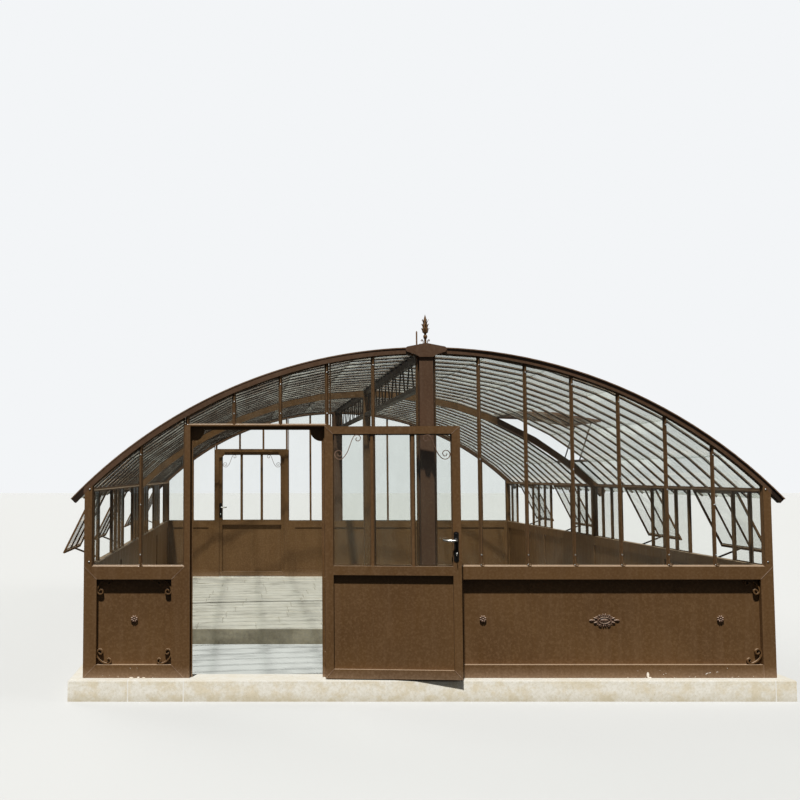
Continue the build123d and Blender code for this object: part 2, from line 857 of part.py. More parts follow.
with BuildPart() as vent_curb:
    with BuildSketch(Plane.XZ):
        trimmer_profile(vent_first_course, 1)
        trimmer_profile(vent_last_course, -1)
    extrude(amount=vent_side_y, both=True)
finish(vent_curb, "roof_vent_curb")

# Roof vent flap: sheet steel in a frame, bent once to the roof, raised about its upper edge
vent_bars = outer_line[vent_first_course : vent_last_course + 1]
vent_pivot = vent_bars[0]


def raised(point, turn=radians(vent_open)):
    """Point of the closed flap, turned up about the line of its hinge."""
    dx, dz = point[0] - vent_pivot[0], point[1] - vent_pivot[1]
    return (
        vent_pivot[0] + dx * cos(turn) - dz * sin(turn),
        vent_pivot[1] + dx * sin(turn) + dz * cos(turn),
    )


def shell_line(lift):
    """Line of the flap at this height over the roof bars, raised with it."""
    line = slope_line(roof_radius + lift)[vent_first_course : vent_last_course + 1]
    return [raised(point) for point in line]


flap_length = 2 * vent_half_bays * bay_pitch
flap_low, flap_high = shell_line(vent_clearance), shell_line(vent_clearance + vent_depth)
sheet_low = shell_line(vent_clearance + vent_depth - vent_sheet)
with BuildPart() as vent_flap:
    with BuildSketch(Plane.XZ):
        Polygon(*flap_high, *flap_low[::-1], align=None)
    extrude(amount=flap_length / 2, both=True)
    with BuildSketch(Plane.XZ):
        inner = []
        for low, corner in ((flap_low, False), (sheet_low, True)):
            share = vent_frame / hypot(low[1][0] - low[0][0], low[1][1] - low[0][1])
            start = tuple(a + (b - a) * share for a, b in zip(low[0], low[1]))
            stop = tuple(a + (b - a) * share for a, b in zip(low[2], low[1]))
            run = [start, low[1], stop]
            inner += run[::-1] if corner else run
        Polygon(*inner, align=None)
    extrude(amount=flap_length / 2 - vent_frame, both=True, mode=Mode.SUBTRACT)
finish(vent_flap, "roof_vent_flap")


def along(points, distance):
    """Point on the straight from the first of two points towards the second."""
    (x0, z0), (x1, z1) = points
    share = distance / hypot(x1 - x0, z1 - z0)
    return (x0 + (x1 - x0) * share, z0 + (z1 - z0) * share)


# Vent hinges: a block over each bay between the upper trimmer and the flap
with BuildPart() as vent_hinges:
    for bay in range(-vent_half_bays, vent_half_bays):
        y = bay_pitch * (bay + 0.5)
        with BuildSketch(Plane.XZ.offset(-y)):
            on_curb = along(vent_bars[:2], vent_hinge_reach)
            on_flap = along(flap_low[:2], vent_hinge_reach)
            Polygon(vent_pivot, on_curb, on_flap, flap_low[0], align=None)
        extrude(amount=vent_hinge_length / 2, both=True)
finish(vent_hinges, "roof_vent_hinges")

# Vent stays: a prop from the lower trimmer to the foot of the flap in each half
with BuildPart() as vent_stays:
    for facing in (-1, 1):
        with BuildSketch(Plane.XZ.offset(-facing * bay_pitch)):
            up_curb = vent_bars[:-3:-1]
            up_flap = flap_low[:-3:-1]
            feet = [along(up_curb, vent_stay_setback), along(up_curb, vent_stay_setback + vent_stay_width)]
            heads = [along(up_flap, vent_stay_setback + vent_stay_width), along(up_flap, vent_stay_setback)]
            Polygon(*feet, *heads, align=None)
        extrude(amount=vent_stay_thickness / 2, both=True)
finish(vent_stays, "roof_vent_stays")


# Door leaves: the same leaf in both gables, the front one standing open
def leaf_plane(facing, opening, depth):
    """Upright plane in a leaf, depth behind its outer face, with X from the pin line to the free edge."""
    pins = pin_plane(facing, opening)
    upright = Plane(origin=pins.origin, x_dir=pins.x_dir, z_dir=pins.x_dir.cross(Vector(0, 0, 1)))
    return upright.offset(-facing * (hinge_out + depth))


leaf_start = leaf_side_gap / 2
lights_width = leaf_width - 2 * leaf_stile
lights_top = leaf_bottom_gap + leaf_height - leaf_top_rail
lights_middle = (leaf_lock_top + lights_top) / 2
lights_height = lights_top - leaf_lock_top
leaf_panel_low = leaf_bottom_gap + leaf_bottom_rail
leaf_panel_high = leaf_lock_top - leaf_lock_rail
leaf_middle = leaf_start + leaf_width / 2
light_pitch = (lights_width + leaf_bar) / leaf_lights
first_light = leaf_middle - (leaf_lights - 1) / 2 * light_pitch
light_centres = [(first_light + k * light_pitch, lights_middle) for k in range(leaf_lights)]
bar_centres = [(first_light + (k + 0.5) * light_pitch, lights_middle) for k in range(leaf_lights - 1)]
handle_x = leaf_start + leaf_width - handle_setback
handle_plate_bottom = lever_height - lever_above_plate_foot
outer_recess = leaf_thickness - leaf_panel_recess - leaf_panel_thickness
for facing, opening, name in ((-1, front_door_open, "front"), (1, back_door_open, "back")):
    with BuildPart() as leaf:
        with BuildSketch(leaf_plane(facing, opening, 0)):
            with Locations((leaf_middle, leaf_bottom_gap + leaf_height / 2)):
                Rectangle(leaf_width, leaf_height)
            with Locations((leaf_middle, lights_middle)):
                Rectangle(lights_width, lights_height, mode=Mode.SUBTRACT)
        extrude(amount=-facing * leaf_thickness)
        for depth, recess in ((0, -facing * outer_recess), (leaf_thickness, facing * leaf_panel_recess)):
            with BuildSketch(leaf_plane(facing, opening, depth)):
                with Locations((leaf_middle, (leaf_panel_low + leaf_panel_high) / 2)):
                    Rectangle(lights_width, leaf_panel_high - leaf_panel_low)
            extrude(amount=recess, mode=Mode.SUBTRACT)
        with BuildSketch(leaf_plane(facing, opening, leaf_bar_setback)):
            with Locations(*bar_centres):
                Rectangle(leaf_bar, lights_height)
        extrude(amount=-facing * leaf_bar_depth)
        pins = pin_plane(facing, opening)
        for height in hinge_heights:
            with BuildSketch(pins.offset(height + knuckle_gap)):
                hinge_half(1, facing)
            extrude(amount=knuckle_height)
    finish(leaf, f"{name}_door_leaf")
    with BuildPart() as leaf_glass:
        with BuildSketch(leaf_plane(facing, opening, leaf_glass_setback)):
            with Locations(*light_centres):
                Rectangle(light_pitch - leaf_bar, lights_height)
        extrude(amount=-facing * glass_thickness)
    finish(leaf_glass, f"{name}_door_glass")
    with BuildPart() as handles:
        for depth, outward in ((0, facing), (leaf_thickness, -facing)):
            with BuildSketch(leaf_plane(facing, opening, depth)):
                with Locations((handle_x, handle_plate_bottom + handle_plate_height / 2)):
                    RectangleRounded(handle_plate_width, handle_plate_height, handle_plate_corner)
            extrude(amount=outward * handle_plate_thickness)
            reach = handle_plate_thickness + lever_neck
            with BuildSketch(leaf_plane(facing, opening, depth)):
                with Locations((handle_x, lever_height)):
                    Circle(lever_radius)
            extrude(amount=outward * reach)
            grip_depth = depth - (reach - lever_thickness) if depth == 0 else depth + reach - lever_thickness
            with BuildSketch(leaf_plane(facing, opening, grip_depth)):
                with Locations((handle_x - lever_length / 2 + lever_radius, lever_height)):
                    SlotOverall(lever_length, 2 * lever_radius)
            extrude(amount=outward * lever_thickness)
    finish(handles, f"{name}_door_handles")
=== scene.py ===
# %% [markdown]
# # A glass greenhouse with a curved roof
# A steel and glass house on a concrete kerb: 5.4 m wide, 8.4 m long and 2.75 m to the ridge.
# The measured solids come first, as a fixed frame. Everything after that dresses them: putty, lapped
# panes, wrought iron scrolls, cast ornaments, worn paint, dusty glass and stone flags.

# %% Load the measured frame
import json
from math import asin, cos, pi, radians, sin, sqrt
from random import Random

import bmesh
import bpy
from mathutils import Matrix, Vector
from mathutils.geometry import interpolate_bezier


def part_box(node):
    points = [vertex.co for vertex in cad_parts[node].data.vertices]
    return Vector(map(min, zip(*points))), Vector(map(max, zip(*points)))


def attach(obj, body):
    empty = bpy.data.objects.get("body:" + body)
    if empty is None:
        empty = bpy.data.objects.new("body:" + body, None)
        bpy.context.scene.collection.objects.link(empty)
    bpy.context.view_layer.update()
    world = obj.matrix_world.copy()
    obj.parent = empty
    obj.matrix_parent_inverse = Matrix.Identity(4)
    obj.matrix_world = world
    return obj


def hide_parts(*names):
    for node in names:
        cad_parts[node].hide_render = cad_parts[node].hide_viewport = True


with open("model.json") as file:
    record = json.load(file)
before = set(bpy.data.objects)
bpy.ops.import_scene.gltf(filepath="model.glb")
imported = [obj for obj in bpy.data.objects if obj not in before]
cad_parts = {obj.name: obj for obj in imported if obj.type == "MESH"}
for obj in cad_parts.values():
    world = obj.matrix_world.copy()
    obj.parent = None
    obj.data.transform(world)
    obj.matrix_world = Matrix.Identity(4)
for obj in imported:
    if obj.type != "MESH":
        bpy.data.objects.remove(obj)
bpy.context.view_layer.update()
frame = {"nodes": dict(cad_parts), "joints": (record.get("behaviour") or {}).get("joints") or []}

# %% [markdown]
# The house is drawn from a few sizes, so they are read from the frame where it has them. The roof is one
# circle: its radius follows from half the span and the rise, as a smith would strike it on the floor.

# %% Sizes of the house, in metres
posts_low, posts_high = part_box("corner_posts")
HALF_WIDTH, HALF_LENGTH, WAIST = posts_high.x, posts_high.y, posts_low.z
KERB_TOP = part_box("kerb_front")[1].z
FLOOR_LOW, FLOOR_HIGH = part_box("paved_floor")
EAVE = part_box("side_bars_left")[1].z
ARCH_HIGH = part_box("front_arch")[1]
APEX = ARCH_HIGH.z
WALL, ROOF_RISE, ARCH_DEPTH = 0.060, 1.200, 0.050
RADIUS = (ARCH_HIGH.x**2 + ROOF_RISE**2) / (2 * ROOF_RISE)
ARC_CENTRE = APEX - RADIUS
TIP_ANGLE = asin(ARCH_HIGH.x / RADIUS)
ARCH_INNER = RADIUS - ARCH_DEPTH
PITCH, BAYS, COURSES = 0.300, 28, 6
MID_LINE = BAYS // 2
print("roof radius", round(RADIUS, 4), "tip angle", round(TIP_ANGLE, 4))

# %% [markdown]
# The camera stands left of the middle, at eye height, and looks straight along the house and slightly up.
# The picture is wider on the right, which is a lens shift and not a turn of the camera.

# %% Camera
camera_data = bpy.data.cameras.new("camera")
camera_data.lens = 48.2
camera_data.sensor_width = 36.0
camera_data.shift_x = 0.1925
camera = bpy.data.objects.new("camera", camera_data)
camera.location = (-1.43, -12.66, 1.736)
camera.rotation_euler = (radians(94.0), 0, 0)
bpy.context.scene.collection.objects.link(camera)
bpy.context.scene.camera = camera
bpy.context.scene.view_settings.view_transform = "Standard"

# %% [markdown]
# A studio for a building: a pale floor out to the horizon, one sharp high lamp in front, two wide and weaker
# ones from the right and from behind, and an even, dim sky. The high lamp is steep, because a recessed panel
# shows its depth by the shadow under its top rail. The sky is drawn pale for the eye only, so it puts no
# extra light on the house and no fog on the panes.


# %% Colour and nodes
def linear(code):
    """Colour written as sRGB hex, as the linear value that a shader takes."""
    parts = [int(code[k : k + 2], 16) / 255 for k in (0, 2, 4)]
    return (*[p / 12.92 if p <= 0.04045 else ((p + 0.055) / 1.055) ** 2.4 for p in parts], 1.0)


def add_node(tree, kind, inputs=None, **settings):
    """Add one node; an input is a value, an output to link from, or a node for its first output."""
    node = tree.nodes.new("ShaderNode" + kind)
    for key, value in settings.items():
        setattr(node, key, value)
    for key, value in (inputs or {}).items():
        if isinstance(value, bpy.types.Node):
            value = value.outputs[0]
        if isinstance(value, bpy.types.NodeSocket):
            tree.links.new(value, node.inputs[key])
        else:
            node.inputs[key].default_value = value
    return node


def new_finish(name):
    """Empty material with its node tree."""
    finish = bpy.data.materials.new(name)
    finish.use_nodes = True
    finish.node_tree.nodes.clear()
    return finish, finish.node_tree


# %% Floor, sky and lamps
world = bpy.data.worlds.new("studio_sky")
bpy.context.scene.world = world
world.use_nodes = True
sky = world.node_tree
sky.nodes.clear()
path = add_node(sky, "LightPath")
rays = {0: path.outputs["Is Camera Ray"], 1: path.outputs["Is Transmission Ray"]}
seen = add_node(sky, "Math", rays, operation="ADD", use_clamp=True)
sky_light = add_node(sky, "Background", {"Color": linear("EFF2F6"), "Strength": 0.11})
sky_seen = add_node(sky, "Background", {"Color": linear("F3F5F7"), "Strength": 1.0})
sky_mix = add_node(sky, "MixShader", {0: seen, 1: sky_light, 2: sky_seen})
add_node(sky, "OutputWorld", {"Surface": sky_mix})

floor_finish, tree = new_finish("pale_studio_floor")
cloudy = add_node(tree, "TexNoise", {"Scale": 0.35, "Detail": 2.0})
clouds = {0: cloudy, 6: linear("A7A7A4"), 7: linear("ADADAB")}
floor_colour = add_node(tree, "Mix", clouds, data_type="RGBA")
floor_seen = add_node(tree, "BsdfDiffuse", {"Color": floor_colour.outputs[2]})
floor_bounce = add_node(tree, "BsdfDiffuse", {"Color": linear("2C2C2A")})
for_eye = add_node(tree, "LightPath").outputs["Is Camera Ray"]
floor_shader = add_node(tree, "MixShader", {0: for_eye, 1: floor_bounce, 2: floor_seen})
add_node(tree, "OutputMaterial", {"Surface": floor_shader})
floor_mesh = bpy.data.meshes.new("studio_floor")
REACH = 90.0
corners = [(-REACH, -REACH, 0), (REACH, -REACH, 0), (REACH, REACH, 0), (-REACH, REACH, 0)]
floor_mesh.from_pydata(corners, [], [(0, 1, 2, 3)])
floor_mesh.materials.append(floor_finish)
floor = bpy.data.objects.new("studio_floor", floor_mesh)
bpy.context.scene.collection.objects.link(floor)


def add_sun(name, towards, strength, spread):
    """Far lamp that shines along a direction; one that is wide in the sky leaves no glare on the panes."""
    lamp = bpy.data.lights.new(name, "SUN")
    lamp.energy = strength
    lamp.angle = radians(spread)
    holder = bpy.data.objects.new(name, lamp)
    holder.rotation_euler = Vector(towards).to_track_quat("-Z", "Y").to_euler()
    holder.visible_glossy = spread < 10
    bpy.context.scene.collection.objects.link(holder)


add_sun("key_lamp", (0.12, 0.42, -1.07), 6.0, 2)
add_sun("side_lamp", (-0.9, 0.0, -0.4), 1.0, 40)
add_sun("back_lamp", (0.5, -0.9, -0.4), 1.6, 40)

# %% [markdown]
# ## Paint, putty and glass
# The frame is mild steel under brown oil paint, put on by brush and outdoors for years. What the eye gets is
# a soft sheen with faint brush marks, pale dust on every top edge that is also a painted highlight, vertical
# streaks from rain, and a few spots where the paint has lifted and rust shows. One recipe makes all the
# paints, from their own colours.
# Wear comes in layers, each with a pattern that says where it lies, so a table of layers is laid on in turn.


# %% Layers of wear
def lay_on(tree, colour, layers):
    """Lay tones over a colour; a layer is (pattern, from, to, most, tone). Gives each layer's mask too."""
    masks = []
    for pattern, low, high, most, tone in layers:
        mask = add_node(tree, "MapRange", {0: pattern, 1: low, 2: high, 3: 0.0, 4: most})
        tones = {0: mask, 6: colour, 7: linear(tone)}
        colour = add_node(tree, "Mix", tones, data_type="RGBA").outputs[2]
        masks.append(mask)
    return colour, masks


# %% Oil paint on steel
def oil_paint(name, fresh, worn, shade, chips=0.735, gloss=0.3, dust_and_highlight=0.5, painted_shade_past=0.0):
    """Brushed oil paint on steel; a lower chips value shows more rust; painted shade sits past a half width.
    """
    finish, tree = new_finish(name)
    place = add_node(tree, "TexCoord").outputs["Object"]
    # broad patches about 0.6 m across, rain streaks about 40 mm wide and 0.7 m long
    patches = add_node(tree, "TexNoise", {"Vector": place, "Scale": 1.7, "Detail": 4.0})
    stretched = add_node(tree, "Mapping", {"Vector": place, "Scale": (24.0, 24.0, 1.4)})
    streaks = add_node(tree, "TexNoise", {"Vector": stretched, "Scale": 1.0, "Detail": 5.0})
    # chips from 5 to 20 mm; brush marks are 1 mm on the real paint and drawn 5 mm wide so that they show
    spots = add_node(tree, "TexNoise", {"Vector": place, "Scale": 55.0, "Detail": 6.0, "Roughness": 0.62})
    marks = add_node(tree, "TexNoise", {"Vector": place, "Scale": 210.0, "Detail": 2.0})
    facing = add_node(tree, "SeparateXYZ", {0: add_node(tree, "NewGeometry").outputs["Normal"]})
    spot = add_node(tree, "SeparateXYZ", {0: place})
    # the lowest 90 mm of the steel is paler, in spots
    low_pale_spots = add_node(tree, "Math", {0: spots, 1: 0.46}, operation="MULTIPLY")
    layers = [
        (patches, 0.35, 0.68, 0.7, shade),
        (streaks, 0.50, 0.80, 0.16, worn),
        (spots, 0.46, 0.66, 0.38, worn),
        # pale dust on faces that look up, also a painted highlight along top edges
        (facing.outputs[2], 0.35, 0.95, dust_and_highlight, "A6937D"),
        (spot.outputs[2], 0.25, 0.16, low_pale_spots, "B59C84"),
    ]
    if painted_shade_past:
        # past the half width the colour is painted shade, near black
        far = add_node(tree, "Math", {0: spot.outputs[0]}, operation="ABSOLUTE")
        layers.append((far, painted_shade_past, painted_shade_past + 0.01, 0.9, "241B14"))
    layers.append((spots, chips, chips + 0.025, 1.0, "7B4526"))
    colour, masks = lay_on(tree, linear(fresh), layers)
    sheen = add_node(tree, "MapRange", {0: streaks, 1: 0.3, 2: 0.8, 3: 0.38, 4: 0.62})
    # brush marks stand up, and the chips of the last layer are sunk
    relief = add_node(tree, "Math", {0: marks, 1: masks[-1]}, operation="SUBTRACT")
    bump = add_node(tree, "Bump", {"Height": relief, "Strength": 0.22, "Distance": 0.0012})
    skin = {"Base Color": colour, "Roughness": sheen, "Normal": bump}
    skin["Specular IOR Level"] = gloss
    paint = add_node(tree, "BsdfPrincipled", skin)
    add_node(tree, "OutputMaterial", {"Surface": paint})
    return finish


brown_paint = oil_paint("brown_oil_paint_on_steel", "64482A", "806344", "563C22")
# roof bars, ridge girder, ridge beam, vent and window stays take a dark brown, which is painted shade for
# steel seen against the light
dark_shade_paint = oil_paint("dark_paint_on_steel_painted_shade", "35291C", "514232", "291F15", 0.70)
putty_paint = oil_paint("painted_linseed_putty", "5A4126", "785F44", "4A351F", 0.69, dust_and_highlight=0.4)
vent_paint = oil_paint("primed_sheet_steel", "7E5F4E", "947462", "6A4C3C", 0.72, dust_and_highlight=0.2)
# the roof cross bars take a near black brown, which is painted shade for bars seen against the bright roof
near_black_shade_paint = oil_paint("near_black_paint_painted_shade", "33261E", "4A3A2F", "241A14", 0.70)
# weld beads and arch edge strips take a paler brown: rubbed paint, and a painted highlight on their thin lit
# lines
rubbed_and_highlight_paint = oil_paint("rubbed_brown_paint_and_painted_highlight", "7A5D45", "A08A74", "5C4532", 0.70, 0.5, 0.7)
# arches, crests and centre posts take a darker brown, which is painted shade for their height over the bright
# kerb, and past the corner posts the arch tips are painted shade, near black
POST_EDGE = HALF_WIDTH + 0.002
arch_paint = oil_paint("arch_paint_with_painted_shade_at_the_tips", "59412F", "6E5843", "4C3626", painted_shade_past=POST_EDGE)
iron_paint = oil_paint("thinly_painted_iron", "745644", "A68C78", "4C392C", 0.69, 0.4, 0.7)
print("paints made")

# %% [markdown]
# The panes are drawn horticultural glass, 4 mm thick: nearly clear, faintly green, with a mirror gloss that
# grows at grazing angles. Rain and dust leave a thin film. It could be a refracting glass, but a thin pane
# hardly bends light, so a clear shader with gloss by Fresnel looks the same and lets the lamps through.


# %% Glass with a film of dust
def pane_glass(name, tint, film_colour, film_low, film_high, clear_to=0.16, lap_dirt=0.0):
    """Clear glass with a dust film between two shares; lap_dirt darkens the roof panes at their laps."""
    finish, tree = new_finish(name)
    place = add_node(tree, "TexCoord").outputs["Object"]
    # dried rain marks about 60 mm wide run down the panes, over clouds of dust about 0.5 m across
    stretched = add_node(tree, "Mapping", {"Vector": place, "Scale": (9.0, 16.0, 4.0)})
    runs = add_node(tree, "TexNoise", {"Vector": stretched, "Scale": 1.0, "Detail": 6.0})
    clouds = add_node(tree, "TexNoise", {"Vector": place, "Scale": 2.1, "Detail": 3.0})
    both = add_node(tree, "Math", {0: runs, 1: clouds}, operation="MULTIPLY")
    share = add_node(tree, "MapRange", {0: both, 1: clear_to, 2: 0.40, 3: film_low, 4: film_high})
    if lap_dirt:
        # algae sit in the 15 mm laps: the angle round the roof's centre gives the place down a pane
        spot = add_node(tree, "SeparateXYZ", {0: place})
        rise = add_node(tree, "Math", {0: spot.outputs[2], 1: ARC_CENTRE}, operation="SUBTRACT")
        across = add_node(tree, "Math", {0: spot.outputs[0]}, operation="ABSOLUTE")
        turn = add_node(tree, "Math", {0: across, 1: rise}, operation="ARCTAN2")
        course = add_node(tree, "Math", {0: turn, 1: TIP_ANGLE / COURSES}, operation="DIVIDE")
        down = add_node(tree, "Math", {0: course}, operation="FRACT")
        near = add_node(tree, "MapRange", {0: down, 1: 0.80, 2: 1.0, 3: 0.0, 4: lap_dirt})
        patchy = add_node(tree, "Math", {0: near, 1: runs}, operation="MULTIPLY")
        share = add_node(tree, "Math", {0: share, 1: patchy}, operation="ADD", use_clamp=True)
    clear = add_node(tree, "BsdfTransparent", {"Color": linear(tint)})
    gloss = add_node(tree, "BsdfGlossy", {"Color": linear("FFFFFF"), "Roughness": 0.03})
    # only the face that the light meets first has gloss, or a pane would mirror its own inside
    angle = add_node(tree, "Fresnel", {"IOR": 1.52})
    side = add_node(tree, "NewGeometry").outputs["Backfacing"]
    outer = add_node(tree, "Math", {0: 1.0, 1: side}, operation="SUBTRACT")
    shine = add_node(tree, "Math", {0: angle, 1: outer}, operation="MULTIPLY")
    share = add_node(tree, "Math", {0: share, 1: outer}, operation="MULTIPLY")
    pane = add_node(tree, "MixShader", {0: shine, 1: clear, 2: gloss})
    lit = add_node(tree, "BsdfDiffuse", {"Color": linear(film_colour)})
    through = add_node(tree, "BsdfTranslucent", {"Color": linear(film_colour)})
    dust = add_node(tree, "MixShader", {0: 0.5, 1: lit, 2: through})
    mixed = add_node(tree, "MixShader", {0: share, 1: pane, 2: dust})
    add_node(tree, "OutputMaterial", {"Surface": mixed})
    return finish


wall_glass = pane_glass("drawn_horticultural_glass", "FBFCFB", "C2C1B2", 0.0, 0.04)
roof_glass = pane_glass("dusty_roof_glass", "F6F8F6", "B4B4AA", 0.02, 0.42, 0.24, 0.5)
print("glass made")

# %% [markdown]
# The kerb is cast concrete, struck off with a float: cream, with fine sand, darker damp patches near the
# ground and thin joints pointed in white mortar where two lengths meet. The flags inside are pale
# limestone, sawn and worn.


# %% Concrete and stone
def mineral(name, pale, dark, damp, joints=()):
    """Cast or sawn mineral surface; joints are the places of pointed joints across the house."""
    finish, tree = new_finish(name)
    place = add_node(tree, "TexCoord").outputs["Object"]
    blotch = add_node(tree, "TexNoise", {"Vector": place, "Scale": 8.0, "Detail": 8.0, "Roughness": 0.70})
    # float marks are from 5 to 20 mm; the 1 mm sand between them is drawn a little larger so that it shows
    sand = add_node(tree, "TexNoise", {"Vector": place, "Scale": 55.0, "Detail": 8.0, "Roughness": 0.7})
    pits = add_node(tree, "TexVoronoi", {"Vector": place, "Scale": 34.0})
    spot = add_node(tree, "SeparateXYZ", {0: place})
    wet = add_node(tree, "Math", {0: blotch, 1: 0.7}, operation="MULTIPLY")
    layers = [
        (blotch, 0.44, 0.60, 1.0, dark),
        (spot.outputs[2], 0.075, 0.0, wet, damp),
        (sand, 0.42, 0.66, 0.34, "C2B48F"),
        (pits, 0.10, 0.05, 0.35, "6F6856"),
    ]
    holes = len(layers) - 1
    for joint in joints:
        off = add_node(tree, "Math", {0: spot.outputs[0], 1: joint}, operation="SUBTRACT")
        near = add_node(tree, "Math", {0: off}, operation="ABSOLUTE")
        layers.append((near, 0.006, 0.003, 0.8, "FFFBF2"))
    # what lies flat is darker: dirt where it is walked on, and painted shade that holds the tops down under
    # the steep lamp
    facing = add_node(tree, "SeparateXYZ", {0: add_node(tree, "NewGeometry").outputs["Normal"]})
    layers.append((facing.outputs[2], 0.3, 0.72, 0.75, "8D8B84"))
    colour, masks = lay_on(tree, linear(pale), layers)
    relief = add_node(tree, "Math", {0: sand, 1: masks[holes]}, operation="SUBTRACT")
    bump = add_node(tree, "Bump", {"Height": relief, "Strength": 0.4, "Distance": 0.002})
    skin = {"Base Color": colour, "Roughness": 0.88, "Normal": bump}
    stone = add_node(tree, "BsdfPrincipled", skin)
    add_node(tree, "OutputMaterial", {"Surface": stone})
    return finish


KERB_JOINTS = (-2.339, -1.912, 2.641)
kerb_concrete = mineral("floated_cast_concrete", "FFF9EA", "F3E6CA", "A39876", KERB_JOINTS)
floor_stone = mineral("sawn_pale_limestone", "DDD7C8", "C8BFAA", "A59C86")
bed_mortar = mineral("lean_bedding_mortar", "A39B88", "8D8573", "6F6858")

# %% [markdown]
# Two metals are not painted brown: the lock plates are black lacquered iron, and the levers are nickel
# plate, brushed once and now a little dull.


# %% Lock metals
def bare_metal(name, colour_a, colour_b, metallic, low_sheen, high_sheen, gloss=0.5):
    """Plated or lacquered metal with fine rubbing marks along its length."""
    finish, tree = new_finish(name)
    place = add_node(tree, "TexCoord").outputs["Object"]
    stretched = add_node(tree, "Mapping", {"Vector": place, "Scale": (60.0, 400.0, 400.0)})
    rubbed = add_node(tree, "TexNoise", {"Vector": stretched, "Scale": 1.0, "Detail": 3.0})
    tones = {0: rubbed, 6: linear(colour_a), 7: linear(colour_b)}
    colour = add_node(tree, "Mix", tones, data_type="RGBA")
    sheen = add_node(tree, "MapRange", {0: rubbed, 1: 0.3, 2: 0.7, 3: low_sheen, 4: high_sheen})
    skin = {"Base Color": colour.outputs[2], "Metallic": metallic, "Roughness": sheen}
    skin["Specular IOR Level"] = gloss
    metal = add_node(tree, "BsdfPrincipled", skin)
    add_node(tree, "OutputMaterial", {"Surface": metal})
    return finish


black_iron = bare_metal("black_lacquered_iron", "0E0D0D", "1A1918", 0.0, 0.30, 0.50, 0.25)
nickel = bare_metal("brushed_nickel_plate", "B9B7B0", "D4D2CB", 1.0, 0.24, 0.40)
print("materials", len(bpy.data.materials))

# %% [markdown]
# The measured pieces keep their shapes and take these finishes, by the first word or words of their names.
# Panes, kerb, floor, arches and roof bars have their own, and all the rest is the brown paint.


# %% Dress the measured pieces
def both_ends(name):
    return f"front_{name}", f"back_{name}"


FINISHES = {
    bed_mortar: ("paved_floor",),
    kerb_concrete: ("kerb_",),
    vent_paint: ("roof_vent_flap",),
    wall_glass: (*both_ends("glass"), *both_ends("door_glass"), "side_glass", "window_glass"),
    arch_paint: (*both_ends("arch"), *both_ends("crest"), *both_ends("centre_post")),
    dark_shade_paint: ("roof_bars", "ridge_girder", "ridge_beam", "roof_vent", "window_stays"),
}
for name, node in frame["nodes"].items():
    fitting = [finish for finish, starts in FINISHES.items() if name.startswith(starts)]
    node.data.materials.clear()
    node.data.materials.append((fitting + [brown_paint])[0])
print("dressed", len(frame["nodes"]), "measured pieces")

# %% [markdown]
# ## Making shapes
# Every added piece is made from closed solids: a flat section carried along a line, or a profile turned about
# an axis. They are gathered and made into one mesh a piece. This keeps each outline exact, which a sculpted
# or displaced mesh would not.


# %% Carry, turn and join
def carry(section, stations, closed=False):
    """Solid swept by a flat section; a station is (origin, first axis, second axis)."""
    count = len(section)
    points = [o + a * u + b * v for o, a, b in stations for u, v in section]
    faces = []
    for s in range(len(stations) - (0 if closed else 1)):
        t = (s + 1) % len(stations)
        for k in range(count):
            m = (k + 1) % count
            faces.append((s * count + k, s * count + m, t * count + m, t * count + k))
    if not closed:
        last = (len(stations) - 1) * count
        faces += [tuple(range(count))[::-1], tuple(range(last, last + count))]
    return points, faces


def round_about(count):
    """Angles spaced evenly round a circle."""
    return [2 * pi * k / count for k in range(count)]


def turned(profile, foot, axis, side, turns=20):
    """Solid turned about an axis; the profile is (radius, height) from foot to tip."""
    other = axis.cross(side)
    rings = [side * cos(angle) + other * sin(angle) for angle in round_about(turns)]
    points = [foot + ring * r + axis * h for r, h in profile for ring in rings]
    faces = []
    for s in range(len(profile) - 1):
        for k in range(turns):
            m = (k + 1) % turns
            faces.append((s * turns + k, s * turns + m, (s + 1) * turns + m, (s + 1) * turns + k))
    last = (len(profile) - 1) * turns
    faces += [tuple(range(turns))[::-1], tuple(range(last, last + turns))]
    return points, faces


def make_piece(name, solids, finish, body="root", rounded=0.0, smooth=False):
    """Join closed solids into one piece that rides on a body and takes the given finish."""
    points, faces = [], []
    for solid_points, solid_faces in solids:
        start = len(points)
        points += [tuple(p) for p in solid_points]
        faces += [tuple(start + k for k in face) for face in solid_faces]
    mesh = bpy.data.meshes.new(name)
    mesh.from_pydata(points, [], faces)
    shape = bmesh.new()
    shape.from_mesh(mesh)
    bmesh.ops.recalc_face_normals(shape, faces=shape.faces)
    if rounded:
        sharp = [e for e in shape.edges if e.is_manifold and e.calc_face_angle() > radians(35)]
        bmesh.ops.bevel(shape, geom=sharp, offset=rounded, segments=2, profile=0.6, affect="EDGES")
    shape.to_mesh(mesh)
    shape.free()
    mesh.materials.append(finish)
    piece = bpy.data.objects.new(name, mesh)
    bpy.context.scene.collection.objects.link(piece)
    if smooth:
        mesh.shade_smooth()
        mesh.set_sharp_from_angle(angle=radians(38))
    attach(piece, body)
    print(name, len(solids), "solids", sum(len(p.vertices) - 2 for p in mesh.polygons), "triangles")
    return piece


X, Y, Z = Vector((1, 0, 0)), Vector((0, 1, 0)), Vector((0, 0, 1))


def gable_point(facing, x, z, depth):
    """Point on a gable, depth behind its outer face; facing is -1 in front and 1 behind."""
    return Vector((x, facing * (HALF_LENGTH - depth), z))


def on_gable(facing):
    """Placer on a gable: across, up, and in from its outer face."""
    return lambda u, v, d: gable_point(facing, u, v, d)


def arc_z(x, radius):
    return ARC_CENTRE + sqrt(radius**2 - x**2)


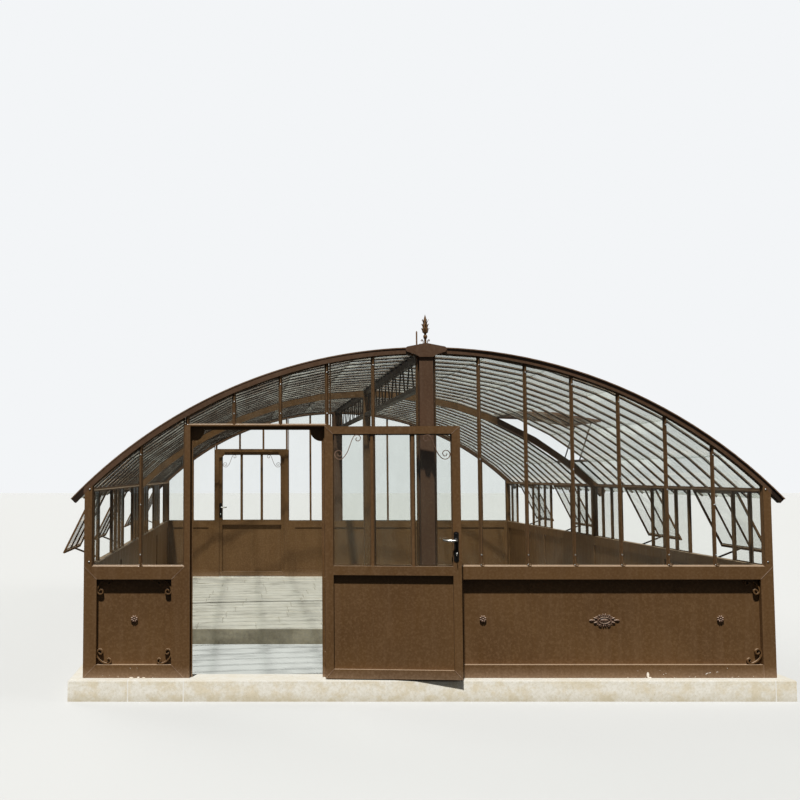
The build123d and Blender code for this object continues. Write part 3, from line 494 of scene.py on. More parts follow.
# %% [markdown]
# ## Putty
# A pane lies on the flange of its T bars and is held by a sloping fillet of putty on all four sides, as high
# as the stem. It is what makes a bar look broad and soft from outside. Each fillet is one closed ring of
# triangular section round its pane, mitred at the corners as the knife leaves it.


# %% Putty round the gable panes
def inset(outline, distance):
    """Outline moved inward by a distance, with its corners kept as mitres."""
    count = len(outline)
    moved = []
    for k in range(count):
        before, here, after = outline[k - 1], outline[k], outline[(k + 1) % count]
        d0 = Vector((here[0] - before[0], here[1] - before[1])).normalized()
        d1 = Vector((after[0] - here[0], after[1] - here[1])).normalized()
        n0, n1 = Vector((-d0.y, d0.x)), Vector((-d1.y, d1.x))
        mitre = (n0 + n1) / max(0.2, 1 + n0.dot(n1))
        moved.append((here[0] + mitre.x * distance, here[1] + mitre.y * distance))
    return moved


def putty_ring(outline, place, glass, lip, foot):
    """Fillet round a pane: outline runs anticlockwise, place(u, v, depth) puts it in the wall."""
    count = len(outline)
    inner = inset(outline, foot)
    points = []
    for (u, v), (iu, iv) in zip(outline, inner):
        points += [place(u, v, glass), place(u, v, lip), place(iu, iv, glass)]
    faces = []
    for k in range(count):
        m = (k + 1) % count
        for s in range(3):
            t = (s + 1) % 3
            faces.append((3 * k + s, 3 * m + s, 3 * m + t, 3 * k + t))
    return points, faces


CENTRE_BAY, END_BAY, HALF_BARS = 0.420, 0.380, 6
CORNER_EDGE = HALF_WIDTH - WALL
GABLE_PITCH = (CORNER_EDGE - CENTRE_BAY - END_BAY) / (HALF_BARS - 1)
bar_lines = [CENTRE_BAY + GABLE_PITCH * k for k in range(HALF_BARS)]
frame_low, frame_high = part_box("front_door_frame")
JAMB_LEFT, JAMB_RIGHT, OVER_LINTEL = frame_low.x, frame_high.x, frame_high.z
GLASS_FACE, PUTTY_LIP, PUTTY_FOOT = 0.031, 0.013, 0.011
STEM_HALF, POST_HALF, HEAD_STEPS = 0.003, 0.067, 6
edges = [(-CORNER_EDGE, 0)] + [(-x, STEM_HALF) for x in reversed(bar_lines)]
edges += [(0, POST_HALF)] + [(x, STEM_HALF) for x in bar_lines] + [(CORNER_EDGE, 0)]
pane_outlines = []
for (x0, half0), (x1, half1) in zip(edges, edges[1:]):
    low_x, high_x = x0 + half0, x1 - half1
    over_door = JAMB_LEFT < (x0 + x1) / 2 < JAMB_RIGHT
    if not over_door:
        low_x = max(low_x, JAMB_RIGHT) if x0 < JAMB_RIGHT < x1 else low_x
        high_x = min(high_x, JAMB_LEFT) if x0 < JAMB_LEFT < x1 else high_x
    bottom = OVER_LINTEL if over_door else WAIST
    heads = [high_x + (low_x - high_x) * k / HEAD_STEPS for k in range(HEAD_STEPS + 1)]
    pane_outlines.append([(low_x, bottom), (high_x, bottom)] + [(x, arc_z(x, ARCH_INNER)) for x in heads])
for facing, name in ((-1, "front"), (1, "back")):
    rings = [putty_ring(o, on_gable(facing), GLASS_FACE, PUTTY_LIP, PUTTY_FOOT) for o in pane_outlines]
    make_piece(f"{name}_putty", rings, putty_paint)

# %% [markdown]
# The long walls and the propped windows are glazed in the same way. A window hangs from the eave and stands
# open at 26 degrees, so its rings are placed on the plane of the sash.

# %% Putty on the long walls and windows
WINDOW_TURN, WINDOW_DROP, SASH = radians(26), 0.002, 0.014
WINDOW_BAYS, WINDOW_STARTS = 3, (2, 8, 17, 23)
SASH_FRAME, SASH_BAR = 0.025, 0.012


def line_y(line):
    return -HALF_LENGTH + PITCH * line


def wall_edge(line):
    """Half width of the upright on a bar line of the long walls."""
    if line in (0, BAYS):
        return WALL
    return 0.030 if line == MID_LINE else STEM_HALF


def window_point(side, y, down, out):
    """Point on an open window: down from its hinge line, and out from its inner face."""
    x = HALF_WIDTH + WINDOW_DROP + down * sin(WINDOW_TURN) + out * cos(WINDOW_TURN)
    return Vector((side * x, y, EAVE - WINDOW_DROP - down * cos(WINDOW_TURN) + out * sin(WINDOW_TURN)))


sash_height = EAVE - WAIST
sash_width = PITCH * WINDOW_BAYS - 2 * STEM_HALF - 0.008
light_width = (sash_width - 2 * SASH_FRAME - (WINDOW_BAYS - 1) * SASH_BAR) / WINDOW_BAYS
window_middles = [line_y(start + WINDOW_BAYS / 2) for start in WINDOW_STARTS]
for side, name in ((-1, "left"), (1, "right")):
    rings = []
    for bay in range(BAYS):
        if any(0 <= bay - start < WINDOW_BAYS for start in WINDOW_STARTS):
            continue
        low, high = line_y(bay) + wall_edge(bay), line_y(bay + 1) - wall_edge(bay + 1)
        outline = [(low, WAIST), (high, WAIST), (high, EAVE), (low, EAVE)]
        place = lambda u, v, d, side=side: Vector((side * (HALF_WIDTH - d), u, v))
        rings.append(putty_ring(outline, place, GLASS_FACE, PUTTY_LIP, PUTTY_FOOT))
    for middle in window_middles:
        for k in range(WINDOW_BAYS):
            low = middle - sash_width / 2 + SASH_FRAME + k * (light_width + SASH_BAR)
            high = low + light_width
            top, foot = -SASH_FRAME, SASH_FRAME - sash_height
            outline = [(low, foot), (high, foot), (high, top), (low, top)]
            place = lambda u, v, d, side=side: window_point(side, u, -v, d)
            rings.append(putty_ring(outline, place, 0.009, SASH - 0.001, 0.009))
    make_piece(f"side_putty_{name}", rings, putty_paint)

# %% [markdown]
# ## Roof
# Each roof bar is a cross in section: a web with a thin flange on which the panes lie. It runs from the ridge
# to the eave tip and turns a little at each lap, so that flat panes follow the circle. The panes are lapped
# like slates, each one resting on the one below by 15 mm, which throws the rain off.

# %% Roof bars with their flanges
RIDGE_HALF = 0.020
COURSE_START = asin(RIDGE_HALF / RADIUS)
COURSE_TURN = (TIP_ANGLE - COURSE_START) / COURSES
VENT_FIRST, VENT_LAST, VENT_HALF_BAYS = 3, 5, 2


def roof_station(side, turn, y, radius=RADIUS):
    """Point over the roof's circle with axes along the house and outward."""
    outward = Vector((side * sin(turn), 0, cos(turn)))
    return Vector((0, y, ARC_CENTRE)) + outward * radius, Y, outward


def roof_run(side, y, first=0, last=COURSES):
    return [roof_station(side, COURSE_START + COURSE_TURN * k, y) for k in range(first, last + 1)]


WEB, FLANGE_HALF, SEAT, UNDER, DEEP = 0.003, 0.010, -0.015, -0.018, -0.022
cross = [
    (-WEB, 0), (-WEB, SEAT), (-FLANGE_HALF, SEAT), (-FLANGE_HALF, UNDER), (-WEB, UNDER), (-WEB, DEEP),
    (WEB, DEEP), (WEB, UNDER), (FLANGE_HALF, UNDER), (FLANGE_HALF, SEAT), (WEB, SEAT), (WEB, 0),
]
fillet = [(WEB, -0.0115), (0.009, -0.0115), (WEB, -0.002)]
other_fillet = [(-u, v) for u, v in fillet]
for side, name in ((-1, "left"), (1, "right")):
    bars, putty = [], []
    for line in range(1, BAYS):
        cut = side > 0 and abs(line - MID_LINE) < VENT_HALF_BAYS
        for first, last in ((0, VENT_FIRST), (VENT_LAST, COURSES)) if cut else ((0, COURSES),):
            run = roof_run(side, line_y(line), first, last)
            bars.append(carry(cross, run))
            putty += [carry(fillet, run), carry(other_fillet, run)]
    for y, section in (
        (WALL - HALF_LENGTH - WEB, fillet),
        (HALF_LENGTH - WALL + WEB, other_fillet),
    ):
        putty.append(carry(section, roof_run(side, y)))
    piece = make_piece(f"roof_cross_bars_{name}", bars, near_black_shade_paint)
    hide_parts(f"roof_bars_{name}")
    make_piece(f"roof_putty_{name}", putty, putty_paint)

# %% Lapped roof panes
PANE, LAP, LAP_LIFT = 0.004, 0.015, 0.0045
chance = Random(7)
for side, name in ((-1, "left"), (1, "right")):
    panes = []
    for bay in range(BAYS):
        low = line_y(bay) + (WALL if bay == 0 else WEB) + 0.0015
        high = line_y(bay + 1) - (WALL if bay + 1 == BAYS else WEB) - 0.0015
        in_vent = side > 0 and MID_LINE - VENT_HALF_BAYS <= bay < MID_LINE + VENT_HALF_BAYS
        for course in range(COURSES):
            if in_vent and VENT_FIRST <= course < VENT_LAST:
                continue
            lap = 0 if course == COURSES - 1 else LAP + chance.uniform(-0.003, 0.003)
            upper = COURSE_START + COURSE_TURN * course
            lower = COURSE_START + COURSE_TURN * (course + 1) + lap / RADIUS
            top, _, _ = roof_station(side, upper, 0, RADIUS + SEAT + 0.0003)
            foot, _, _ = roof_station(side, lower, 0, RADIUS + SEAT + LAP_LIFT)
            fall = (foot - top).normalized()
            normal = Vector((-fall.z * side, 0, fall.x * side))
            section = [(low, 0), (high, 0), (high, PANE), (low, PANE)]
            panes.append(carry(section, [(top, Y, normal), (foot, Y, normal)]))
    piece = make_piece(f"lapped_roof_panes_{name}", panes, roof_glass)
    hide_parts(f"roof_glass_{name}")

# %% [markdown]
# Along the top of each gable arch runs a narrow edge strip that covers the ends of the panes. It has been
# pushed out over the years, by 3 mm on the left and 10 mm on the right, and under the steep sun it throws
# a dark line on the arch. A strip drawn flat on the arch would lose that line.

# %% Arch edge strips
STRIP_TURNS = 48
strips = []
for facing in (-1, 1):
    run = []
    for k in range(STRIP_TURNS + 1):
        turn = TIP_ANGLE * (2 * k / STRIP_TURNS - 1)
        origin, _, outward = roof_station(1, turn, facing * HALF_LENGTH)
        proud = 0.0065 + 0.0035 * sin(pi / 2 * max(-1, min(1, 4 * turn)))
        run.append((origin, Vector((0, facing * proud, 0)), outward))
    strips.append(carry([(0, -0.008), (1, -0.008), (1, -0.0005), (0, -0.0005)], run))
# the strip's paler paint is partly a painted highlight on its lit face
make_piece("arch_edge_strips", strips, rubbed_and_highlight_paint, smooth=True)

# %% [markdown]
# ## Wrought iron
# The scrolls are flat bar, bent hot round a former and left with a curl at each end. A scroll is drawn as the
# smith draws it: a spiral, an easy curve, and a second spiral. In the door both curls turn different ways,
# which makes an S. In the panel corners both turn the same way, which makes a C with its back to the corner.


# %% Scroll lines
def spiral(centre, radius, entry, spin, turns=1.35, inner=0.28, steps=26):
    """Points of a curl from its outer end inward; entry is the angle where the bar comes in."""
    points = []
    for k in range(steps + 1):
        share = k / steps
        reach = radius * (1 - (1 - inner) * share)
        angle = entry + spin * 2 * pi * turns * share
        points.append((centre[0] + reach * cos(angle), centre[1] + reach * sin(angle)))
    return points


def scroll_line(first, second, steps=12):
    """Bar line from inside one curl to inside the other, joined by an easy curve."""
    head, tail = spiral(*first)[::-1], spiral(*second)
    start, stop = Vector(head[-1]), Vector(tail[0])
    pull = (stop - start).length / 3
    out = (start - Vector(head[-2])).normalized() * pull
    into = (Vector(tail[1]) - stop).normalized() * pull
    easy = interpolate_bezier(start, start + out, stop - into, stop, steps + 1)
    return head + [tuple(point) for point in easy[1:-1]] + tail


def flat_bar(line, place, thickness, front, back):
    """Flat bar along a scroll line, standing on edge between two depths."""
    stations = []
    for k, (u, v) in enumerate(line):
        before, after = line[max(k - 1, 0)], line[min(k + 1, len(line) - 1)]
        run = Vector((after[0] - before[0], after[1] - before[1])).normalized()
        base = place(u, v, 0)
        side = place(u - run.y, v + run.x, 0) - base
        inward = place(u, v, 1) - base
        stations.append((base, side, inward))
    half = thickness / 2
    return carry([(-half, front), (half, front), (half, back), (-half, back)], stations)


def corner_scroll(corner, across, up):
    """C scroll in a panel corner: across and up are +1 or -1, towards the middle of the panel."""
    spin = across * up
    near, far, curl = 0.030, 0.094, 0.026

    def put(u, v):
        return (corner[0] + across * u, corner[1] + up * v)

    start = pi if across > 0 else 0
    end = -pi / 2 if up > 0 else pi / 2
    first = (put(near, far), curl, start, -spin, 1.0, 0.34)
    second = (put(far, near), 0.85 * curl, end, spin, 1.0, 0.34)
    return scroll_line(first, second)


# %% Scrolls in the panel corners
RAIL, RECESS = 0.100, 0.045
# thickness, and the depths of its two edges
CORNER_BAR = (0.009, 0.022, 0.042)
panel_spans = [(-HALF_WIDTH + RAIL, JAMB_LEFT - RAIL), (JAMB_RIGHT + RAIL, HALF_WIDTH - RAIL)]
panel_low, panel_high = KERB_TOP + RAIL, WAIST - RAIL
scrolls = []
for facing in (-1, 1):
    place = on_gable(facing)
    for low, high in panel_spans:
        for x, across in ((low, 1), (high, -1)):
            for z, up in ((panel_low, 1), (panel_high, -1)):
                scrolls.append(flat_bar(corner_scroll((x, z), across, up), place, *CORNER_BAR))
make_piece("panel_corner_scrolls", scrolls, brown_paint, smooth=True)

# %% [markdown]
# ## Door leaves
# The leaf is the same in both gables. The front one stands open against the wall, so its inner face is
# towards the camera. Its parts are placed from the pin line, out along the leaf and in from its outer face.

# %% Leaf places and scrolls
LEAF_W, LEAF_H, LEAF_T = 1.050, 1.948, 0.040
LEAF_START, LEAF_FOOT, PIN_OUT = 0.0025, 0.008, 0.009
STILE, TOP_RAIL, LOCK_TOP, BOTTOM_RAIL = 0.064, 0.060, 0.870, 0.070
LEAF_BAR, LEAF_LIGHTS, LEAF_GLASS, LEAF_LIP = 0.022, 3, 0.018, 0.009
# thickness, and the depths of its two edges
SCROLL_BAR = (0.006, 0.024, 0.038)
DOORS = {"front_door": (-1, 176), "back_door": (1, 0)}
pins = {joint["child"]: Vector(joint["pos_m"]) for joint in frame["joints"]}


def leaf_point(body, u, z, depth):
    """Point of a leaf: u out from the pin line, z over the kerb, depth in from its outer face."""
    facing, opening = DOORS[body]
    turn = radians(-facing * opening)
    along = Vector((-cos(turn), -sin(turn), 0))
    inward = along.cross(Z) * -facing
    return pins[body] + along * u + inward * (PIN_OUT + depth) + Z * z


lights_low, lights_high = LEAF_START + STILE, LEAF_START + LEAF_W - STILE
lights_top = LEAF_FOOT + LEAF_H - TOP_RAIL
light_pitch = (lights_high - lights_low + LEAF_BAR) / LEAF_LIGHTS


def leaf_scroll(edge, across):
    """S scroll under the top rail: a large curl against the stile and a small one under the rail."""

    def put(u, v):
        return (edge + across * u, lights_top - v)

    first = (put(0.048, 0.157), 0.045, -0.5 if across > 0 else pi + 0.5, -across, 1.5, 0.16)
    second = (put(0.192, 0.037), 0.035, 2.9 if across > 0 else pi - 2.9, -across, 1.15, 0.2)
    return scroll_line(first, second)


for body in DOORS:
    place = lambda u, v, d, body=body: leaf_point(body, u, v, d)
    sides = ((lights_low, 1), (lights_high, -1))
    scrolls = [flat_bar(leaf_scroll(edge, across), place, *SCROLL_BAR) for edge, across in sides]
    make_piece(f"{body}_scrolls", scrolls, iron_paint, body=body, smooth=True)
    rings = []
    for k in range(LEAF_LIGHTS):
        low = lights_low + k * light_pitch
        high = low + light_pitch - LEAF_BAR
        outline = [(low, LOCK_TOP), (high, LOCK_TOP), (high, lights_top), (low, lights_top)]
        rings.append(putty_ring(outline, place, LEAF_GLASS, LEAF_LIP, 0.009))
    make_piece(f"{body}_putty", rings, putty_paint, body=body)

# %% [markdown]
# The frames are welded from square section with mitred corners, and a low bead of weld still shows through
# the paint at each one. A bead is a thin rounded bar along the mitre, one millimetre proud. The outer foot
# of the right panel is the one corner that was butted, so its bead runs straight down.


# %% Weld beads at the mitres
def bead(start, stop, place, depth, outward, width=0.005, proud=0.0012):
    """Low rounded bead from one point of a face to another."""
    a, b = Vector(start), Vector(stop)
    run = (b - a).normalized()
    base = place(a.x, a.y, depth)
    side = place(a.x - run.y, a.y + run.x, depth) - base
    out = (place(a.x, a.y, depth + outward) - base).normalized()
    section = [(width / 2 * cos(pi * k / 4), proud * sin(pi * k / 4)) for k in range(5)]
    return carry(section, [(base, side, out), (place(b.x, b.y, depth), side, out)])


beads = []
for facing in (-1, 1):
    place = on_gable(facing)
    for low, high in panel_spans:
        for x, across in ((low, -1), (high, 1)):
            for z, up in ((panel_low, -1), (panel_high, 1)):
                butted = x > 0 and across > 0 and up < 0
                stop = (x if butted else x + across * RAIL, z + up * RAIL)
                beads.append(bead((x, z), stop, place, 0, -1))
# the beads' paler paint is partly a painted highlight along the mitres
make_piece("base_weld_beads", beads, rubbed_and_highlight_paint, smooth=True)
for body in DOORS:
    place = lambda u, v, d, body=body: leaf_point(body, u, v, d)
    corners = []
    for edge, out in ((lights_low, -1), (lights_high, 1)):
        for z, far in ((lights_top, TOP_RAIL), (LEAF_FOOT + BOTTOM_RAIL, -BOTTOM_RAIL)):
            for depth, outward in ((0, -1), (LEAF_T, 1)):
                corners.append(bead((edge, z), (edge + out * STILE, z + far), place, depth, outward))
    make_piece(f"{body}_weld_beads", corners, rubbed_and_highlight_paint, body=body, smooth=True)

# %% [markdown]
# ## Panels
# The right base panel is closed by sheets about 1.15 m wide. Each seam has a raised edge and a small clip
# at its top. Cast ornaments are riveted on: a rosette in the end sheets and an oval piece in the middle one.

# %% Seams and clips
SEAMS = (-0.343, 0.806, 1.956)
CLIP_LOW, CLIP_HIGH, SHEET_EDGE = 0.835, 0.850, 0.055
seams = []
for facing in (-1, 1):
    place = on_gable(facing)
    for x in SEAMS:
        seams.append(bead((x, panel_low), (x, panel_high), place, RECESS, -1, 0.008, 0.0015))
        clip = [(x - 0.02, CLIP_LOW), (x + 0.02, CLIP_LOW), (x + 0.017, CLIP_HIGH), (x - 0.017, CLIP_HIGH)]
        station = [(place(0, 0, d), X, Z) for d in (RECESS, RECESS - 0.006)]
        seams.append(carry(clip, station))
    for x0, x1 in panel_spans:
        for x in (x0 + SHEET_EDGE, x1 - SHEET_EDGE):
            seams.append(bead((x, panel_low), (x, panel_high), place, RECESS, -1, 0.005, 0.001))
make_piece("panel_seams_and_clips", seams, brown_paint)

# %% Cast rosettes
ROSETTES = (-2.306, 0.428, 2.290)
ROSETTE_Z, PETALS = KERB_TOP + 0.449, 8
flowers = []


def dome(centre, axis, side, radius, height, steps=5):
    """Low dome on a face, as the head of a rivet or a petal's swell."""
    rise = [pi / 2 * k / steps for k in range(steps + 1)]
    profile = [(radius * cos(turn) + 0.0002, height * sin(turn)) for turn in rise]
    return turned(profile, centre, axis, side, 12)


def ellipsoid(centre, first, second, third, rings=8, turns=12):
    """Closed egg with three half axes given as vectors."""
    points, faces = [centre - third], []
    for k in range(1, rings):
        lift = -cos(pi * k / rings)
        reach = sin(pi * k / rings)
        for angle in round_about(turns):
            points.append(centre + third * lift + (first * cos(angle) + second * sin(angle)) * reach)
    points.append(centre + third)
    last = len(points) - 1
    for m in range(turns):
        n = (m + 1) % turns
        faces.append((0, 1 + n, 1 + m))
        for k in range(rings - 2):
            a, b = 1 + k * turns, 1 + (k + 1) * turns
            faces.append((a + m, a + n, b + n, b + m))
        base = 1 + (rings - 2) * turns
        faces.append((base + m, base + n, last))
    return points, faces


for facing in (-1, 1):
    for x in ROSETTES:
        centre = gable_point(facing, x, ROSETTE_Z, RECESS)
        out = Y * facing
        flowers.append(turned([(0.020, 0), (0.020, 0.006), (0.015, 0.009)], centre, out, X))
        for k in range(PETALS):
            angle = 2 * pi * (k + 0.5) / PETALS
            ray = X * cos(angle) + Z * sin(angle)
            side = Z * cos(angle) - X * sin(angle)
            spot = centre + ray * 0.0185 + out * 0.008
            flowers.append(ellipsoid(spot, ray * 0.0100, side * 0.0074, out * 0.008))
        flowers.append(dome(centre + out * 0.008, out, X, 0.008, 0.011))
make_piece("cast_rosettes", flowers, iron_paint, smooth=True)

# %% [markdown]
# When the kerb was limewashed, some of it landed on the bottom rails of the front and stayed there as white
# spots and one thick drip. They are flat blobs less than 1 mm thick.

# %% Limewash splashes
limewash = mineral("dried_limewash", "F6EEE2", "E4D6C4", "CDBEA8")
# large ones: place across and up, half width, half height and tilt
splashes = [
    (1.697, 0.184, 0.010, 0.022, 0.0), (1.709, 0.164, 0.016, 0.004, 0.0), (2.155, 0.194, 0.013, 0.0025, 0.5),
    (2.178, 0.200, 0.009, 0.002, 0.3), (2.236, 0.206, 0.008, 0.002, 0.2), (-2.322, 0.164, 0.016, 0.004, 0.0),
    (-2.268, 0.165, 0.010, 0.005, 0.2), (-2.226, 0.164, 0.012, 0.003, 0.0),
]
SPECKS = 26
chance = Random(5)
for _ in range(SPECKS):
    x = chance.choice((-1, 1, 1, 1)) * chance.uniform(1.5, 2.6)
    size = chance.uniform(0.0012, 0.0032)
    splashes.append((x, KERB_TOP + 0.004 + 0.08 * chance.random() ** 2, size, size * 0.8, 0.0))
blobs = []
for x, z, wide, high, tilt in splashes:
    ray = X * cos(tilt) + Z * sin(tilt)
    blobs.append(ellipsoid(gable_point(-1, x, z, 0), ray * wide, Y.cross(ray) * high, Y * -0.0008, 4, 10))
make_piece("limewash_splashes", blobs, limewash, smooth=True)

# %% [markdown]
# The oval casting is 0.24 m wide: a ring round a plain boss, four leaf scrolls, and a pointed leaf at each
# end. Its leaves are swelled pieces that overlap, as they are in the pattern for a sand casting.

# %% Oval casting
OVAL_X, OVAL_Z = 1.381, KERB_TOP + 0.437
castings = []
for facing in (-1, 1):
    centre = gable_point(facing, OVAL_X, OVAL_Z, RECESS)
    out = Y * facing
    plate = []
    for angle in round_about(48):
        reach = 1 + 0.10 * cos(8 * angle)
        plate.append((0.082 * cos(angle) * reach, 0.040 * sin(angle) * reach))
    castings.append(carry(plate, [(centre, X, Z), (centre + out * 0.004, X * 0.97, Z * 0.97)]))
    ring = []
    for angle in round_about(40):
        spot = centre + X * 0.046 * cos(angle) + Z * 0.024 * sin(angle) + out * 0.006
        ray = (X * cos(angle) * 0.024 + Z * sin(angle) * 0.046).normalized()
        ring.append((spot, ray, out))
    wire = [(0.004 * cos(angle), 0.005 * sin(angle)) for angle in round_about(8)]
    castings.append(carry(wire, ring, closed=True))
    castings.append(ellipsoid(centre + out * 0.005, X * 0.034, Z * 0.014, out * 0.007, 10, 20))
    for across in (-1, 1):
        tip, stud = (centre + X * across * reach + out * 0.003 for reach in (0.100, 0.080))
        castings.append(ellipsoid(tip, X * 0.021, Z * 0.008, out * 0.006))
        castings.append(dome(stud, out, X, 0.007, 0.007))
        for up in (-1, 1):
            for angle, reach, size in ((0.42, 0.077, 0.016), (0.95, 0.062, 0.015), (1.40, 0.048, 0.013)):
                ray = (X * across * cos(angle) + Z * up * sin(angle) * 0.62).normalized()
                spot = centre + X * across * reach * cos(angle) + Z * up * 0.041 * sin(angle) + out * 0.004
                side = out.cross(ray)
                castings.append(ellipsoid(spot, ray * size, side * 0.0065, out * 0.0065))
            curl = spiral((across * 0.030, up * 0.036), 0.011, -pi / 2 * up, across * up, 1.2, 0.3, 16)
            place = lambda u, v, d, c=centre, o=out: c + X * u + Z * v - o * d
            castings.append(flat_bar(curl, place, 0.004, -0.009, -0.002))
make_piece("oval_castings", castings, iron_paint, smooth=True)

# %% [markdown]
# ## Bars and bolts
# Each gable bar ends on the waist rail in a small curled foot, and is held by bolts with round heads. The
# heads were put in later and are still zinc bright, which dots the bars with light.

# %% Curled feet and bolts
BOLT_PROUD, POST_BOLT_IN = 0.005, 0.04
LOWEST_BOLT, HIGHEST_BOLT, LONG_BAR = 0.09, 0.07, 0.8
feet, bolts = [], []
for facing in (-1, 1):
    place, heads = on_gable(facing), []
    for x in [-b for b in bar_lines] + bar_lines:
        at_door = JAMB_LEFT < x < JAMB_RIGHT
        foot_z = OVER_LINTEL if at_door else WAIST
        if not at_door:
            curl = [(x - 0.004, foot_z + 0.052), (x - 0.003, foot_z + 0.036)]
            curl += spiral((x + 0.009, foot_z + 0.014), 0.0125, pi, 1, 1.05, 0.35, 18)
            feet.append(flat_bar(curl, place, 0.005, -0.001, 0.009))
            heads.append((x - 0.006, foot_z + 0.012, 0.009, 0.005))
        tall = arc_z(x, ARCH_INNER) - foot_z
        count = 3 if tall > LONG_BAR else 2
        for k in range(count):
            z = foot_z + LOWEST_BOLT + (tall - LOWEST_BOLT - HIGHEST_BOLT) * k / (count - 1)
            heads.append((x, z, 0.0115, 0.006))
    for x in (POST_BOLT_IN - HALF_WIDTH, HALF_WIDTH - POST_BOLT_IN):
        heads += [(x, z, 0, 0.007) for z in (WAIST + 0.035, arc_z(x, ARCH_INNER) - 0.008)]
    bolts += [dome(place(x, z, d), Y * facing, X, radius, BOLT_PROUD) for x, z, d, radius in heads]
make_piece("gable_bar_feet", feet, brown_paint, smooth=True)
zinc = bare_metal("zinc_plated_steel", "A7A9A8", "C2C3C0", 1.0, 0.32, 0.5)
make_piece("gable_bolts", bolts, zinc, smooth=True)

# %% [markdown]
# ## Locks
# Each leaf has a long lacquered plate on both sides with a round end, a lever that turns back towards the
# leaf, and a keyhole cover. The inner plate has its key in the lock.

# %% Lock plates, levers and key
PLATE_FOOT, PLATE_H, PLATE_W, LEVER_Z = 0.906, 0.234, 0.040, 1.071
LOCK_U = LEAF_START + LEAF_W - 0.040


def plate_outline():
    """Long plate with a waist under the lever and a round nose at both ends."""
    right = []
    for k in range(33):
        share = k / 32
        z = PLATE_FOOT + PLATE_H * share
        end = min(share, 1 - share) * PLATE_H
        half = PLATE_W / 2 * min(1, sqrt(max(0.0, 1 - (1 - min(end / 0.016, 1)) ** 2)) + 0.02)
        half *= 1 - 0.16 * (0.5 + 0.5 * cos(4 * pi * share)) * (1 if 0.1 < share < 0.9 else 0)
        right.append((half, z))
    return right + [(-h, z) for h, z in reversed(right)]


for body in DOORS:
    along = (leaf_point(body, 1, 0, 0) - leaf_point(body, 0, 0, 0)).normalized()
    plates, levers = [], []
    for depth, outward in ((0, -1), (LEAF_T, 1)):
        out = (leaf_point(body, 0, 0, 1) - leaf_point(body, 0, 0, 0)).normalized() * outward
        base = leaf_point(body, LOCK_U, 0, depth)
        plates.append(carry(plate_outline(), [(base, along, Z), (base + out * 0.004, along, Z)]))
        spindle = leaf_point(body, LOCK_U, LEVER_Z, depth)
        plates.append(turned([(0.017, 0.003), (0.017, 0.008), (0.013, 0.012)], spindle, out, along))
        screw = leaf_point(body, LOCK_U, PLATE_FOOT + 0.214, depth) + out * 0.004
        plates.append(dome(screw, out, along, 0.007, 0.004))
        keyhole = leaf_point(body, LOCK_U, PLATE_FOOT + 0.060, depth)
        plates.append(turned([(0.013, 0.003), (0.013, 0.007), (0.010, 0.009)], keyhole, out, along))
        levers.append(turned([(0.008, 0.010), (0.008, 0.040), (0.0065, 0.045)], spindle, out, along))
        grip = []
        for k in range(13):
            share = k / 12
            spot = spindle - along * (0.097 * share) + out * (0.037 - 0.006 * share**4 * 4)
            spot = spot - Z * 0.004 * sin(pi * share)
            thick = 0.0062 + 0.0022 * sin(pi * min(share * 1.2, 1)) + 0.0012 * share
            grip.append((spot, Z * thick, out * thick * 0.8))
        levers.append(carry([(cos(angle), sin(angle)) for angle in round_about(12)], grip))
        if outward > 0:
            key = keyhole + out * 0.007
            levers.append(turned([(0.0035, 0), (0.0035, 0.016), (0.003, 0.018)], key, out, along, 12))
            bow = []
            for angle in round_about(20):
                spot = key + out * (0.026 + 0.012 * cos(angle)) + Z * 0.013 * sin(angle)
                ray = out * cos(angle) + Z * sin(angle)
                bow.append((spot, ray, along))
            strip = [(-0.003, -0.0015), (0.003, -0.0015), (0.003, 0.0015), (-0.003, 0.0015)]
            levers.append(carry(strip, bow, closed=True))
    piece = make_piece(f"{body}_lock_plates", plates, black_iron, body, smooth=True)
    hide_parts(f"{body}_handles")
    make_piece(f"{body}_levers", levers, nickel, body, smooth=True)

# %% [markdown]
# ## Ridge ornament
# Behind each crest plate stands a forged bud: a turned stem and ball, then a long cone wrapped in three tiers
# of small pointed leaves that turn outward. Two short scrolls lean on its foot, and a thin rod stands beside.


# %% Buds on the ridge
def leaf_tip(root, ray, height, reach, width):
    """Small pointed leaf that rises from its root and turns outward."""
    side = ray.cross(Z)
    stations = []
    for k in range(6):
        share = k / 5
        spot = root + Z * height * share + ray * reach * share**2.2
        half = width * (1 - share) ** 0.7 * (0.6 + 0.8 * share) + 0.0006
        stations.append((spot, side * half, (ray - Z * 0.3 * share) * 0.0016))
    return carry([(-1, -1), (1, -1), (1, 1), (-1, 1)], stations)


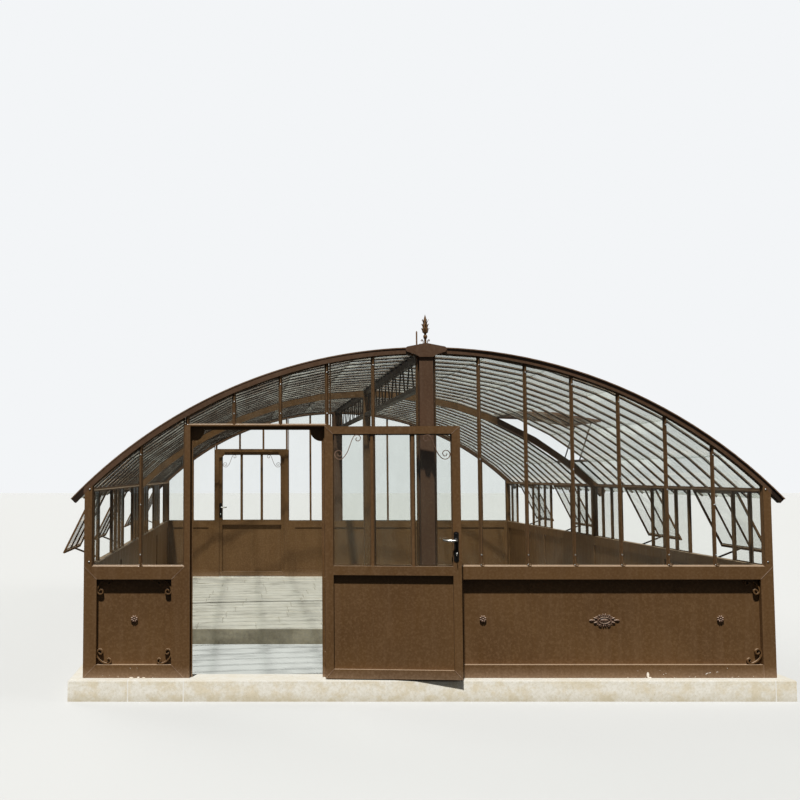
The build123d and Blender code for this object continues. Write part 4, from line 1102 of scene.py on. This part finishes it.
for name in ("front", "back"):
    low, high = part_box(f"{name}_finial")
    foot = Vector(((low.x + high.x) / 2, (low.y + high.y) / 2, low.z))
    top = high.z - low.z
    # stem, ball and cone as (radius, height)
    profile = [(0.019, 0), (0.019, 0.007), (0.010, 0.014), (0.009, 0.060), (0.013, 0.068)]
    profile += [(0.0165, 0.077), (0.0165, 0.085), (0.012, 0.094), (0.008, 0.100), (0.010, 0.106)]
    profile += [(0.020, 0.113), (0.0225, 0.126), (0.020, 0.158), (0.015, 0.194), (0.009, 0.228)]
    profile += [(0.004, 0.248), (0.0006, top)]
    solids = [turned(profile, foot, Z, X)]
    for tier, (z, r, count) in enumerate(((0.115, 0.020, 7), (0.150, 0.018, 6), (0.185, 0.0145, 5))):
        for k in range(count):
            angle = 2 * pi * (k + 0.5 * (tier % 2)) / count
            ray = X * cos(angle) + Y * sin(angle)
            solids.append(leaf_tip(foot + Z * z + ray * r, ray, 0.034, 0.014, 0.006))
    for across in (-1, 1):
        place = lambda u, v, d, f=foot: f + X * u + Z * v + Y * d
        line = scroll_line(
            ((across * 0.040, 0.014), 0.012, -pi / 2, across, 1.1),
            ((across * 0.028, 0.050), 0.008, pi / 2 + across * 1.2, -across, 1.0),
        )
        solids.append(flat_bar(line, place, 0.004, -0.006, 0.006))
    rod = foot + X * -0.069
    solids.append(turned([(0.006, 0), (0.006, 0.118), (0.003, 0.126)], rod, Z, X, 10))
    piece = make_piece(f"{name}_ridge_bud", solids, brown_paint, smooth=True)
    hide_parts(f"{name}_finial")

# %% [markdown]
# ## Flags
# The back part of the house is paved with pale flags, about 0.65 m by 0.5 m, with open joints on a mortar
# bed. Each flag is its own low block with worn edges, a hair higher or lower than the next one.

# %% Stone flags
FLAG_ROW, FLAG, JOINT = 0.46, 0.62, 0.010
FLAG_PROUD, LEAST_FLAG = 0.006, 0.08
flags = []
rows = round((FLOOR_HIGH.y - FLOOR_LOW.y) / FLAG_ROW)
row_depth = (FLOOR_HIGH.y - FLOOR_LOW.y) / rows
chance = Random(21)
for row in range(rows):
    y0 = FLOOR_LOW.y + row * row_depth + JOINT / 2
    y1 = y0 + row_depth - JOINT
    x = FLOOR_LOW.x - chance.uniform(0, 0.5)
    while x < FLOOR_HIGH.x:
        wide = FLAG + chance.uniform(-0.14, 0.14)
        x0, x1 = max(x, FLOOR_LOW.x) + JOINT / 2, min(x + wide, FLOOR_HIGH.x) - JOINT / 2
        x += wide
        if x1 - x0 < LEAST_FLAG:
            continue
        top = FLOOR_HIGH.z + FLAG_PROUD + chance.uniform(-0.0015, 0.0015)
        outline = [(x0, y0), (x1, y0), (x1, y1), (x0, y1)]
        flags.append(carry(outline, [(Z * FLOOR_HIGH.z, X, Y), (Z * top, X, Y)]))
make_piece("stone_flags", flags, floor_stone, rounded=0.003)

# %% [markdown]
# ## Last step
# The view layer is brought up to date.

# %% Update the view layer
bpy.context.view_layer.update()
